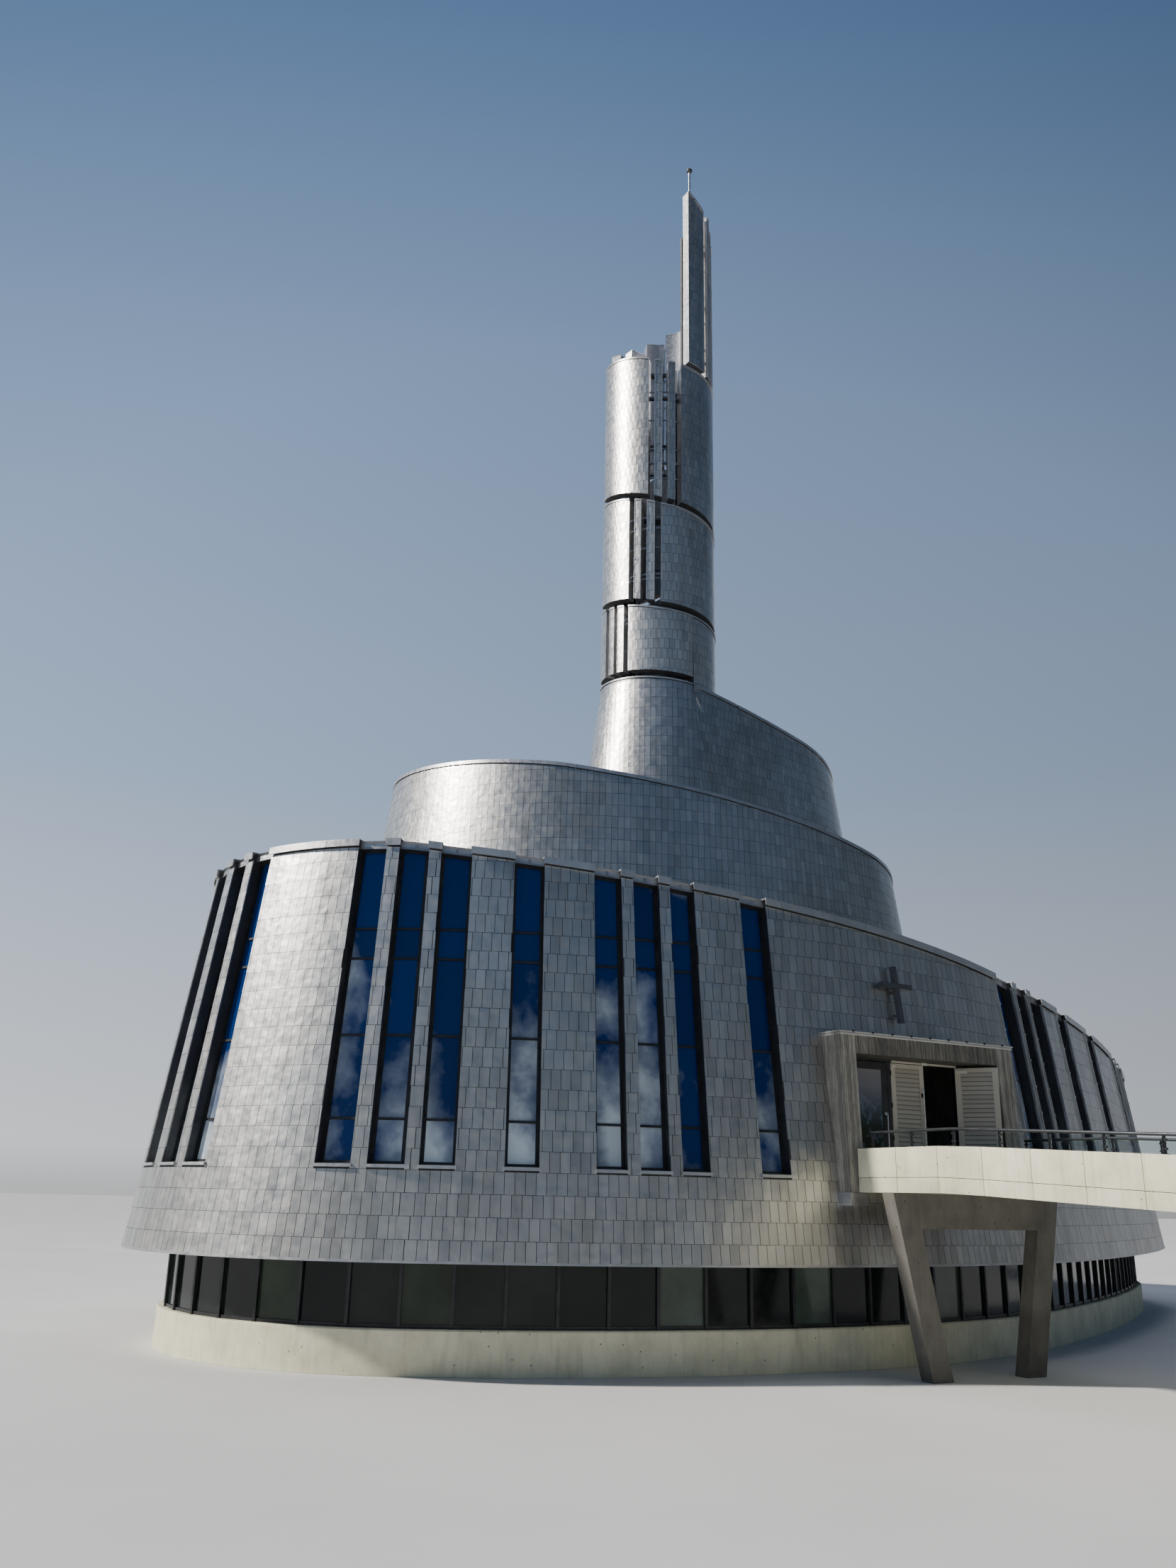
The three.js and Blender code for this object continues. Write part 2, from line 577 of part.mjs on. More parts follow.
// The roof: a ramp from the inner turn's wall to the outer turn's wall, trimmed by both
function roofPiece(from, to) {
  const middle = (h) => (h < TOWER_END ? TOWER_WALL : WALL) / 2;
  const stops = stations(from, to).concat(stations(from - 360, to - 360).map((h) => h + 360));
  const headings = [...new Set(stops.map((h) => h.toFixed(3)))].map(Number).sort((a, b) => a - b);
  const edge = (turn) => headings.map((h) => wallPoint(h + turn, roofAt(h), middle(h + turn)));
  const slab = ramp(edge(-360), edge(0), ROOF);
  const spans = [[from, to], [from - 360, to - 360]];
  const near = tierRooms.filter((w) => spans.some(([a, b]) => w.to > a && w.from < b)).map((w) => w.room);
  if (from < TOWER_END + 360) near.push(wallRoom(...TOWER_BASE, TOWER_WALL, towerBase));
  if (to > LOWER_START) near.push(lowerRoom(Math.max(from, LOWER_START), to));
  return cutAll(slab, near);
}

function makeRoofs() {
  ['upper_roof', 'middle_roof', 'lower_roof', 'back_roof'].forEach((name, i) => {
    const [from, to] = ROOF_SPLITS.slice(i, i + 2);
    add(name, 'roof', roofPiece(from + (i > 0 ? ROOF_JOINT : 0), to));
  });
}

// Lower tier

// Window slots of one stretch, as [from, to] headings
const slotHeadings = (list) =>
  list.map(([start, width]) => [windowHeading(start), windowHeading(start + width)]);

// What a window takes out of the wall: the opening, and the recess that goes on above it
function windowTool([from, to], below) {
  const [outside, inside] = [-TOOL_REACH, WALL + TOOL_REACH];
  return loft(
    stations(from, to).map((h) => {
      const [head, top] = [topAt(h) - below, topAt(h) - HEAD_TOP];
      return [
        wallPoint(h, SILL, outside), wallPoint(h, top, outside), wallPoint(h, top, HEAD_RECESS),
        wallPoint(h, head, HEAD_RECESS), wallPoint(h, head, inside), wallPoint(h, SILL, inside),
      ];
    }),
  );
}

// One stretch of wall with its windows cut out
const windowWall = (from, to, slots, below = HEAD) =>
  cutAll(wallPiece(from, to, { foot: SKIRT_BOTTOM }), slots.map((slot) => windowTool(slot, below)));

// The change of heading over a short distance along the wall
const turnOf = (metres, heading) => THREE.MathUtils.radToDeg(metres / arcAt(heading).radius);

// The sheet of glass behind all windows of one stretch, up to a height below the wall's top edge
function glassSheet(slots, below) {
  const from = slots[0][0];
  const to = slots[slots.length - 1][1];
  return wallPiece(from - turnOf(GLASS_LAP, from), to + turnOf(GLASS_LAP, to), {
    depth: WALL + CLEAR,
    thickness: GLASS,
    foot: FLOOR_TOP + SEAT,
    top: (h) => topAt(h) - below + HEAD_LAP,
  });
}

const portalTurn = rad(PORTAL_TURN);
const along = [Math.cos(portalTurn), Math.sin(portalTurn)];
const forward = [Math.sin(portalTurn), -Math.cos(portalTurn)];

// A point by the portal: along its front, forward of its front plane at the foot, and height
const portalPoint = (u, f, z) => [
  PORTAL_CORNER[0] + along[0] * u + forward[0] * f,
  PORTAL_CORNER[1] + along[1] * u + forward[1] * f,
  z,
];
const leanAt = (z) => -PORTAL_LEAN * (z - PORTAL_FOOT);

// The body that the portal takes up, wider by a margin on each side, with its back's place left and right
function portalVolume(margin, foot, top, [backLeft, backRight]) {
  const front = PORTAL_ROOM[0];
  const quad = (z) => [
    portalPoint(-margin, front, z), portalPoint(PORTAL_WIDTH + margin, front, z),
    portalPoint(PORTAL_WIDTH + margin, backRight, z), portalPoint(-margin, backLeft, z),
  ];
  return block(quad(foot), quad(top));
}

function makeLowerWall() {
  const left = slotHeadings(WINDOWS_LEFT);
  const front = slotHeadings(WINDOWS_FRONT);
  const right = slotHeadings(WINDOWS_RIGHT);
  const back = slotHeadings(WINDOWS_BACK);
  const side = slotHeadings(WINDOWS_SIDE);
  const portalStart = windowHeading(PORTAL_WALL[0]);
  const portalEnd = windowHeading(PORTAL_WALL[1]);
  add('side_wall_end', 'titanium', wallPiece(LOWER_START, SIDE_SPLIT, { foot: SKIRT_BOTTOM }));
  add('side_wall', 'titanium', windowWall(SIDE_SPLIT + 0.03, LOWER_LEFT, side, SIDE_HEAD));
  add('left_wall', 'titanium', windowWall(LOWER_LEFT + 0.03, LEFT_END, left));
  add('front_wall', 'titanium', windowWall(LEFT_END + 0.03, portalStart, front));
  const aroundPortal = wallPiece(portalStart + 0.01, portalEnd, { foot: SKIRT_BOTTOM });
  const behind = PORTAL_ROOM[1];
  const porch = portalVolume(SEAT, PORTAL_FOOT - SEAT, PORTAL_TOP + SEAT, [behind, behind]);
  add('portal_wall', 'titanium', cut(aroundPortal, porch));
  add('right_wall', 'titanium', windowWall(portalEnd + 0.01, RIGHT_END, right));
  add('back_wall', 'titanium', windowWall(RIGHT_END + 0.02, WALL_END, back));
  add('front_window_glass', 'glass', glassSheet([...left, ...front], HEAD));
  add('right_window_glass', 'glass', glassSheet(right, HEAD));
  add('back_window_glass', 'glass', glassSheet(back, HEAD));
  add('side_window_glass', 'glass', glassSheet(side, SIDE_HEAD));
}

// The end of the snail: a straight wall from the outer turn back to the turn inside it
const endNormal = [-outward(WALL_END)[1], outward(WALL_END)[0]];
function makeEndWall() {
  const gap = CLEAR;
  const edge = (depthOuter, shift, z) => {
    const outer = wallPoint(WALL_END, z, depthOuter);
    return [outer[0] + endNormal[0] * shift, outer[1] + endNormal[1] * shift, z];
  };
  const inner = (shift, z) => {
    const p = wallPoint(LOWER_START, z, -gap);
    return [p[0] + endNormal[0] * shift, p[1] + endNormal[1] * shift, z];
  };
  const quad = (z) => [edge(0, gap, z), edge(0, gap + WALL, z), inner(gap + WALL, z), inner(gap, z)];
  const sideRoom = lowerRoom(LOWER_START, LOWER_START + ROOM_LAP);
  add('end_wall', 'titanium', cut(block(quad(SKIRT_BOTTOM), quad(topAt(WALL_END))), sideRoom));
}

// Floors and the ground storey

// The line at a depth inside the wall at a height, all round the lower tier
const insideLine = (depth, height) =>
  stations(LOWER_START, WALL_END).map((h) => wallPoint(h, height, depth).slice(0, 2));

function makeFloors() {
  const floor = plate(insideLine(WALL + CLEAR, FLOOR_TOP), FLOOR_TOP - FLOOR, FLOOR_TOP);
  const backs = PORTAL_DEPTH.map((depth) => -depth - SEAT * 2);
  const porch = portalVolume(SEAT, PORTAL_FOOT - FLOOR * 2, PORTAL_TOP, backs);
  add('main_floor', 'concrete', cut(floor, porch));
  const slabEdge = insideLine(BAND_RECESS + PLINTH - LEDGE + CLEAR, SKIRT_BOTTOM);
  add('ground_slab', 'concrete', plate(slabEdge, 0, GROUND_SLAB));
}

// An upright band along the recessed ground storey between two headings
function bandPiece(from, to, depth, thickness, bottom, top, closed = false) {
  const rings = stations(from, to).map((h) => {
    const [x0, y0] = wallPoint(h, SKIRT_BOTTOM, depth);
    const [x1, y1] = wallPoint(h, SKIRT_BOTTOM, depth + thickness);
    return [[x0, y0, bottom], [x0, y0, top], [x1, y1, top], [x1, y1, bottom]];
  });
  return loft(rings, closed);
}

function makeGroundStorey() {
  // Each band closes along the end wall
  const ring = (depth, thickness, bottom, top) =>
    bandPiece(LOWER_START, WALL_END, depth, thickness, bottom, top, true);
  const ceiling = FLOOR_TOP - FLOOR - SEAT;
  const foot = LEDGE_TOP + SEAT;
  const glassDepth = BAND_RECESS + BAND_SETBACK;
  add('plinth_wall', 'concrete', ring(BAND_RECESS - LEDGE, PLINTH, 0, LEDGE_TOP));
  add('ground_glass_band', 'glass', ring(glassDepth, BAND_GLASS, foot, ceiling));
  const railDepth = glassDepth + BAND_GLASS + CLEAR;
  const rail = ring(railDepth + OVERLAP, MULLION[1] - OVERLAP * 2, ceiling - MULLION_RAIL, ceiling);
  const total = distanceAt(WALL_END) - distanceAt(LOWER_START);
  const count = Math.round(total / MULLION_SPACING);
  const mullions = Array.from({ length: count }, (_, i) => {
    const h = headingAt(distanceAt(LOWER_START) + (total * (i + 0.5)) / count);
    const half = turnOf(MULLION[0] / 2, h);
    return bandPiece(h - half, h + half, railDepth, MULLION[1], foot, ceiling - OVERLAP);
  });
  add('ground_storey_frame', 'frame', join([rail, ...mullions]));
}

// Portal

// A block of the portal between two places along its front, two depths and two heights. The back may be a
// pair, for left and right.
function portalBlock(u0, u1, front, back, z0, z1, leaning = false) {
  const [backLeft, backRight] = Array.isArray(back) ? back : [back, back];
  const quad = (z) => {
    const f = front + (leaning ? leanAt(z) : 0);
    return [
      portalPoint(u0, f, z), portalPoint(u1, f, z),
      portalPoint(u1, backRight, z), portalPoint(u0, backLeft, z),
    ];
  };
  return block(quad(z0), quad(z1));
}

function makePortal() {
  const W = PORTAL_WIDTH;
  const back = (u) => -mix(...PORTAL_DEPTH, u / W);
  const [inLeft, inRight] = [JAMB_LEFT, W - JAMB_RIGHT];
  const body = join([
    portalBlock(0, inLeft, 0, [back(0), back(inLeft)], PORTAL_FOOT, PORTAL_TOP, true),
    portalBlock(inRight, W, 0, [back(inRight), back(W)], PORTAL_FOOT, PORTAL_TOP, true),
    portalBlock(0, W, 0, [back(0), back(W)], PORTAL_TOP - HEADER, PORTAL_TOP, true),
  ]);
  add('portal_frame', 'darkConcrete', body);
  const [u0, u1] = [inLeft + CLEAR, inRight - CLEAR];
  const floorBack = [back(u0), back(u1)];
  add('portal_floor', 'concrete', portalBlock(u0, u1, -SEAT, floorBack, PORTAL_FOOT, DECK_TOP));
}

// The fixed frame of the doors: sill, posts and head, with a pane of glass at the right
const doorLeft = DOOR_CENTRE - LEAF[0] - LEAF_GAP * 1.5;
const doorRight = DOOR_CENTRE + LEAF[0] + LEAF_GAP * 1.5;
const framePlane = -DOOR_SETBACK;
const innerLeft = JAMB_LEFT + JAMB_JOINT;
const innerRight = PORTAL_WIDTH - JAMB_RIGHT - JAMB_JOINT;
function makeDoorFrame() {
  const [width, depth] = DOOR_POST;
  const back = framePlane - depth;
  const head = PORTAL_TOP - HEADER - SEAT;
  const foot = DECK_TOP + SEAT;
  const post = (u) => portalBlock(u, u + width, framePlane, back, foot, head);
  const bar = (z0, z1) => portalBlock(innerLeft, innerRight, framePlane, back, z0, z1);
  const posts = [innerLeft, doorLeft - width, doorRight, innerRight - width];
  const bars = [bar(head - DOOR_HEAD, head), bar(foot, foot + DOOR_SILL)];
  add('door_frame', 'frame', join([...posts.map(post), ...bars]));
  const glassBack = framePlane - (depth + DOOR_GLASS) / 2;
  const [low, high] = [foot + DOOR_SILL + SEAT, head - DOOR_HEAD - SEAT];
  const side = portalBlock(
    doorRight + width + JOINT, innerRight - width - JOINT, glassBack + DOOR_GLASS, glassBack, low, high,
  );
  add('entrance_side_glass', 'glass', side);
}

// A block of a leaf in the leaf's own frame. The hinge line is the Z axis, along the edge of the leaf's
// outer face. The leaf reaches along +X or -X when it is shut, and its thickness is along +Y.
function leafBlock(side, [x0, x1], [y0, y1], [z0, z1]) {
  const quad = (z) => [[side * x0, y0, z], [side * x1, y0, z], [side * x1, y1, z], [side * x0, y1, z]];
  return block(quad(z0), quad(z1));
}

function hingeBarrels() {
  const [radius, length] = KNUCKLE;
  return KNUCKLE_HEIGHTS.map((z) => {
    const barrel = new THREE.CylinderGeometry(radius, radius, length, 12);
    barrel.rotateX(Math.PI / 2);
    barrel.rotateZ(Math.PI / 12);
    barrel.translate(0, 0, z);
    return barrel.scale(MODEL_MM, MODEL_MM, MODEL_MM);
  });
}

// Places a solid of a leaf by the leaf's hinge, and turns it by the leaf's opening angle
function placeLeaf(name, colour, solid, side, hingeU, openDegrees = 0) {
  const [x, y] = portalPoint(hingeU, framePlane + LEAF_PROUD, 0);
  solid.rotateZ(portalTurn - side * rad(openDegrees));
  solid.translate(x * MODEL_MM, y * MODEL_MM, 0);
  add(name, colour, solid);
}

function makeDoors() {
  const [width, thickness] = LEAF;
  const leaf = (side) =>
    join([leafBlock(side, [0, width], [0, thickness], [LEAF_FOOT, LEAF_TOP]), ...hingeBarrels()]);
  placeLeaf('left_door_leaf', 'door', leaf(1), 1, doorLeft + LEAF_GAP);
  placeLeaf('right_door_leaf', 'door', leaf(-1), -1, doorRight - LEAF_GAP, RIGHT_LEAF_OPEN);
}

// The glass door beside them, shut: a metal frame hinged at its left, round one pane
function makeGlassDoor() {
  const [stile, topRail, bottomRail] = GLASS_DOOR;
  const thickness = LEAF[1];
  const hinge = innerLeft + DOOR_POST[0] + LEAF_GAP;
  const width = doorLeft - DOOR_POST[0] - LEAF_GAP - hinge;
  const [low, high] = [LEAF_FOOT + bottomRail, LEAF_TOP - topRail];
  const outline = leafBlock(1, [0, width], [0, thickness], [LEAF_FOOT, LEAF_TOP]);
  const hole = leafBlock(1, [stile, width - stile], [-TOOL_REACH, thickness + TOOL_REACH], [low, high]);
  placeLeaf('glass_door_frame', 'frame', join([cut(outline, hole), ...hingeBarrels()]), 1, hinge);
  const depth = [(thickness - DOOR_GLASS) / 2, (thickness + DOOR_GLASS) / 2];
  const pane = leafBlock(1, [stile + JOINT, width - stile - JOINT], depth, [low + SEAT, high - SEAT]);
  placeLeaf('glass_door_pane', 'glass', pane, 1, hinge);
}

// Footbridge

const bridgeDrop = (s) => -BRIDGE_FALL * Math.max(0, s - BRIDGE_FLAT);
const bridgePoint = (across, s, z) => portalPoint(BRIDGE_LEFT + across, s, z);

// A beam along the bridge between two places across it, with its foot and head at the portal
function bridgeBeam(u0, u1, z0, z1, from = SEAT, to = BRIDGE_LENGTH) {
  const stops = [from, BRIDGE_FLAT, to].filter((s) => s >= from && s <= to);
  return loft(
    stops.map((s) => {
      const d = bridgeDrop(s);
      return [
        bridgePoint(u0, s, z0 + d), bridgePoint(u1, s, z0 + d), bridgePoint(u1, s, z1 + d),
        bridgePoint(u0, s, z1 + d),
      ];
    }),
  );
}

function makePier(name, [s0, s1]) {
  const top = PARAPET[1] + bridgeDrop(s1) - SEAT;
  const beamFoot = top - PIER_BEAM;
  const W = BRIDGE_WIDTH;
  const quad = (a, b, z) => [
    bridgePoint(a, s0, z), bridgePoint(b, s0, z), bridgePoint(b, s1, z), bridgePoint(a, s1, z),
  ];
  const sink = PIER_LEAN * top;
  const shallow = PIER_LEAN * PIER_BEAM;
  const leftLeg = block(quad(sink, sink + PIER_LEG, 0), quad(0, PIER_LEG, top));
  const rightLeg = block(quad(W - sink - PIER_LEG, W - sink, 0), quad(W - PIER_LEG, W, top));
  const beam = block(quad(shallow, W - shallow, beamFoot), quad(0, W, top));
  add(name, 'concrete', join([leftLeg, rightLeg, beam]));
}

// Posts, hand rail and the glass between the posts, in one piece
function railing(u) {
  const z = PARAPET[2] + SEAT;
  const count = Math.floor((BRIDGE_LENGTH - RAIL_START - RAIL_END) / RAIL_SPACING) + 1;
  const places = Array.from({ length: count }, (_, i) => RAIL_START + i * RAIL_SPACING);
  const half = RAIL_POST / 2;
  const r = RAIL_RADIUS;
  const [thickness, glassFoot, glassTop] = RAIL_GLASS;
  const posts = places.map((s) => bridgeBeam(u - half, u + half, z, z + RAIL_HEIGHT - r, s - half, s + half));
  const rail = bridgeBeam(u - r, u + r, z + RAIL_HEIGHT - 2 * r, z + RAIL_HEIGHT, RAIL_START - half);
  const glass = bridgeBeam(
    u - thickness / 2, u + thickness / 2, z + glassFoot, z + glassTop, places[0], places[count - 1],
  );
  return join([rail, glass, ...posts]);
}

function makeBridge() {
  const [width, foot, top] = PARAPET;
  const W = BRIDGE_WIDTH;
  add('bridge_deck', 'concrete', bridgeBeam(width + SEAT, W - width - SEAT, DECK_TOP - DECK, DECK_TOP));
  add('bridge_parapet_left', 'concrete', bridgeBeam(0, width, foot, top));
  add('bridge_parapet_right', 'concrete', bridgeBeam(W - width, W, foot, top));
  makePier('bridge_pier_near', PIER_PLACES[0]);
  makePier('bridge_pier_far', PIER_PLACES[1]);
  add('bridge_railing_left', 'steel', railing(RAIL_INSET));
  add('bridge_railing_right', 'steel', railing(W - RAIL_INSET));
}

// Cross, standing off the wall on two pins
function makeCross() {
  const h = windowHeading(CROSS_PLACE);
  const [from, to] = facetAt(h);
  const [p, q] = [wallPoint(from, CROSS_FOOT), wallPoint(to, CROSS_FOOT)];
  const length = Math.hypot(q[0] - p[0], q[1] - p[1]);
  const side = [(q[0] - p[0]) / length, (q[1] - p[1]) / length];
  const at = (a, out, z) => {
    const [x, y] = wallPoint(h, z, -out);
    return [x + side[0] * a, y + side[1] * a, z];
  };
  const bar = (a0, a1, o0, o1, z0, z1) =>
    block(
      [at(a0, o0, z0), at(a1, o0, z0), at(a1, o1, z0), at(a0, o1, z0)],
      [at(a0, o0, z1), at(a1, o0, z1), at(a1, o1, z1), at(a0, o1, z1)],
    );
  const half = CROSS_BAR / 2;
  const near = CROSS_STANDOFF;
  const armFoot = CROSS_FOOT + CROSS_ARM_HEIGHT - half;
  const upright = bar(-half, half, near, near + CROSS_BAR, CROSS_FOOT, CROSS_FOOT + CROSS_HEIGHT);
  const [armBack, armFront] = [near - CROSS_ARM_PROUD, near + CROSS_BAR + CROSS_ARM_PROUD];
  const arms = bar(-CROSS_ARMS / 2, CROSS_ARMS / 2, armBack, armFront, armFoot, armFoot + CROSS_BAR);
  const pins = CROSS_PIN_HEIGHTS.map((up) => {
    const z = CROSS_FOOT + up;
    return bar(-CROSS_PIN / 2, CROSS_PIN / 2, SEAT, near + OVERLAP, z, z + CROSS_PIN);
  });
  add('wall_cross', 'coping', join([upright, arms, ...pins]));
}

makeTower();
makeTowerFrame();
makeFinial();
makeTiers();
makeRoofs();
makeLowerWall();
makeEndWall();
makeFloors();
makeGroundStorey();
makePortal();
makeDoorFrame();
makeDoors();
makeGlassDoor();
makeBridge();
makeCross();

export default church;
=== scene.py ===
# Looks of the modern church building: shingled walls, windows, roofs, portal, doors and footbridge.
#
# Lengths are those of the real building in metres, and the mesh maker halves them for the model. Only the
# floor, the lights and the camera are placed in model metres. A heading is the side that the wall faces: 0 is
# the front, 90 the right, 180 the back, 270 the left, and it goes on counting from turn to turn of the wall.
import math
import random
from functools import lru_cache

import bmesh
import bpy
import numpy as np
from mathutils import Matrix, Vector


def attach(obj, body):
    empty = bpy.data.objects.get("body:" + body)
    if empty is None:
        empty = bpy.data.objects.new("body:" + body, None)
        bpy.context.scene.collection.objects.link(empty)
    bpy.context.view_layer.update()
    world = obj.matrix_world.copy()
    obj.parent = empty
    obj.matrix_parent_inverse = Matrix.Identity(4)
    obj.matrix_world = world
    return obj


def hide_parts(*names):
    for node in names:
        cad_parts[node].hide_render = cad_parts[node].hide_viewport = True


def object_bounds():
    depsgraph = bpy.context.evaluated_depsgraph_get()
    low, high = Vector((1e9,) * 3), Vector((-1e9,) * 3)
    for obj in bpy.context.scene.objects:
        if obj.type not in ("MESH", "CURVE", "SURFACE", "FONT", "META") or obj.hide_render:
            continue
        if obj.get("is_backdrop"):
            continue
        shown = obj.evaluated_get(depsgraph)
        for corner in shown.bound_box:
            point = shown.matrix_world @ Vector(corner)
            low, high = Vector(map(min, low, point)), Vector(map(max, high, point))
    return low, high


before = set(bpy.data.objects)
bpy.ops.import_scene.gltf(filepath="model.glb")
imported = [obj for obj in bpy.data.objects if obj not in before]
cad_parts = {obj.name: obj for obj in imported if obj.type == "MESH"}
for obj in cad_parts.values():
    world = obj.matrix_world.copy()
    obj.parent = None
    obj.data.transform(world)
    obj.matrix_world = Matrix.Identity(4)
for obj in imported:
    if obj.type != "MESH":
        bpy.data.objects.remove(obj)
cad_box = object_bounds()
random.seed(7)

SCALE = 0.5  # model metres for one metre of the real building
BODY = "building"
MERGE_DISTANCE = 1e-5
SHARP_ANGLE = math.radians(30)
BEVELLED_ANGLE = 0.5

# Plan of the wall's top edge: arcs that follow one another, (radius, heading where the arc ends)
PLAN = [
    (2.3, 33), (37.6, 42), (6.0, 79), (2.5, 135), (10.11, 270), (7.0, 360), (15.2, 404), (5.4, 440),
    (40.0, 450), (5.0, 515), (13.04, 625), (143.9, 631), (6.1, 720), (19.5, 774), (84.0, 785),
    (13.8, 900), (16.0, 925),
]
TOWER_TOP = -1411
TOWER_STEP = 0.14  # metres from one point of a surface to the next, along the wall
WALL_STEP = 0.35
TOWER_END = 33
LOWER_START = 565
LOWER_LEFT = 631
SIDE_SPLIT = 575
LEFT_END = 698
RIGHT_END = 786
WALL_END = 925
END_STEPS = 20

# Height of the wall's top edge: (heading, height)
TOP_EDGE = [
    (-1411, 45.5), (-1350, 43.6), (-1260, 40.5), (-1170, 37.5), (-1080, 36.5), (-990, 36.2),
    (-900, 33.5), (-810, 30.8), (-720, 29.8), (-630, 29.2), (-540, 27.5), (-450, 25.9),
    (-360, 25.2), (-270, 24.8), (-180, 23.7), (-90, 22.6), (0, 22.3), (33, 22.2),
    (78, 20.7), (279, 18.1), (355, 17.2), (436, 15.1), (631, 10.9), (715, 10.8),
    (770, 9.1), (787, 8.2), (925, 6.8),
]
BATTER = 0.135
BATTER_TOP = 22.2
WALL = 0.42
TOWER_GAP = 0.28
TOWER_BASE = (TOWER_END - 360, TOWER_END - 0.05)
ROOF_DROP = 0.35
ROOF = 0.25
SEAM_SPACING = 0.6
SEAM_HALF = 0.012
SEAM_HEIGHT = 0.045
ROOF_SPLITS = [34.8, 393, 700, 796.5, 925]

# Storeys and windows
LEDGE_TOP = 0.85
SKIRT_BOTTOM = 2.1
FLOOR_TOP = 3.85
FLOOR = 0.25
SILL = 3.9
BAND_RECESS = 1.05
BAND_SETBACK = 0.06
BAND_PANE = 1.05
BAND_BAR = 0.035  # half a mullion
BAND_TRANSOM = (2.62, 2.67)
BAND_FOOT = 0.07
BAND_HEAD = (0.13, 0.02)  # below the floor's underside
LEDGE = 0.12
PLINTH = 0.45
HEAD = 0.7
SIDE_HEAD = 0.95
HEAD_TOP = 0.17
HEAD_RECESS = 0.34
BAY_SETBACK = 0.1  # the metal over a window stands back by this much

# Windows of each wall: (metres along the wall from the left wall's start, width)
WINDOWS = {
    "left_wall": [(2.49, 0.93), (3.82, 0.66), (4.77, 0.71)],
    "front_wall": [
        (7.92, 0.66), (8.87, 0.66), (9.8, 0.68), (11.42, 0.67), (13.2, 0.62), (14.09, 0.6),
        (14.95, 0.59), (16.68, 0.68),
    ],
    "right_wall": [
        (25.55, 1.03), (26.82, 0.8), (27.86, 1.18), (30.5, 1.08), (34.17, 1.2), (39.15, 1.04),
        (40.44, 0.95), (41.63, 0.95),
    ],
    "back_wall": [
        (46.0, 1.0), (50.5, 1.0), (51.75, 1.0), (53.0, 1.0), (58.5, 1.0), (62.5, 1.0),
        (63.75, 1.0), (65.0, 1.0), (71.0, 1.0),
    ],
    "side_wall": [(-20.0, 1.0), (-15.5, 1.0), (-14.25, 1.0), (-13.0, 1.0), (-7.5, 1.0), (-2.6, 0.7)],
}
GLASS_OF = {
    "front_window_glass": ["left_wall", "front_wall"],
    "right_window_glass": ["right_wall"],
    "back_window_glass": ["back_wall"],
    "side_window_glass": ["side_wall"],
}
LIGHT_HEIGHTS = (0.88, 2.58, 4.23, 4.89)  # transoms above the sill
WINDOW_BAR = 0.05
BEAD = 0.015
WINDOW_PLANE = (0.25, 0.335)  # front and back of the window frames, inside the wall's face
PANE_PLANE = (0.285, 0.298)  # front and back of the panes
PORTAL_WALL = (17.75, 25.15)  # stretch of wall round the portal, in the same metres

# Tower. Slots between its bands: (start, end)
SLOTS = {
    "tower_fins_top": ((-1094, -1088), (-1080, -1074), (-1066.5, -1060)),
    "tower_fins_middle": ((-754, -748), (-741, -735), (-727, -721)),
    "tower_fins_lower": ((-427, -420), (-412, -407), (-399, -394)),
}
SPIRE_PANEL = (-1411, -1387, 45.5, 44.95)  # start, end, top at each of them

# Fins and panels: (start, end, top)
SPIRE_FINS = [(-1380, -1373, 44.9), (-1370, -1365, 44.4), (-1362, -1352, 43.9)]
CROWN_PANELS = [
    (-1346, -1322, 41.9), (-1320, -1298, 41.4), (-1296, -1272, 40.9), (-1270, -1246, 40.4),
    (-1244, -1222, 39.8), (-1220, -1198, 39.1),
]
CROWN_START = -1196
SPIRE_END = -1352
SPIRE_TIES = (37.4, 40.2, 43.0)
CROWN_TIES = (37.0, 38.4)
CROWN_TUBE = (41.5, 38.75)  # height of the tube behind the crown, at its start and end
CROWN_TUBE_DEPTH = 0.34
CROWN_TUBE_RADIUS = 0.035
TIE = (0.28, 0.12, 0.08)  # level ties: depth, thickness, height
BRACE_SPACING = 1.35
SPIRE_BRACES = (38.0, 43.8)
SLOT_TIES = (0.25, 0.75)  # parts of a slot's height
BRACE = (0.2, 0.05, 0.05)  # thin level braces, with the same three
FINIAL_HEADING = -1405
ROD = (0.045, 46.75)  # radius and height of its top
ROD_FOOT = 0.09
BALL = 0.13
BALL_STEPS = 12

# Shingles and metal edges
SHINGLE_WIDTH = 0.21
LAST_SHINGLE = 0.3  # the least part of one at the end of a course
LEAST_HEIGHT = 0.02
TONE_SPREAD = 0.2
COURSE = 0.41
COURSE_BASE = 3.82
SKIRT_COURSES = 4
UPPER_COURSES = 103
JOINT = 0.0055  # half the open joint between two shingles
COURSE_GAP = 0.007  # open joint below each course
FOOT_DEPTH = 0.010  # a shingle's foot stands further out than its head
HEAD_DEPTH = 0.0125
BACKING = 0.038
UNEVEN = 0.0015
COPING = 0.12
COPING_OUT = 0.03
COPING_LENGTH = 2.4
SHEET = 0.004  # thickness of folded metal
INNER_LAP = 0.025  # the coping's fold down the wall's inner face
INNER_DROP = 0.07
COPING_GAP = 0.004  # half the open joint between two lengths
LAP = 0.03
STRIP_RISE = 0.04  # the coping between windows stands higher, and over them lower, by this much
SHADOW_LINE = 0.03
TOWER_COPING = 0.06
TOWER_COPING_OUT = 0.02
TRIM = 0.03
FIN_TRIM = 0.022
CLIP_SPACING = 0.675
CLIP = 0.05
FIN_CLIP = 0.045
FOOT_TRIM = 0.05
SILL_OUT = 0.045
SILL_DEEP = 0.05

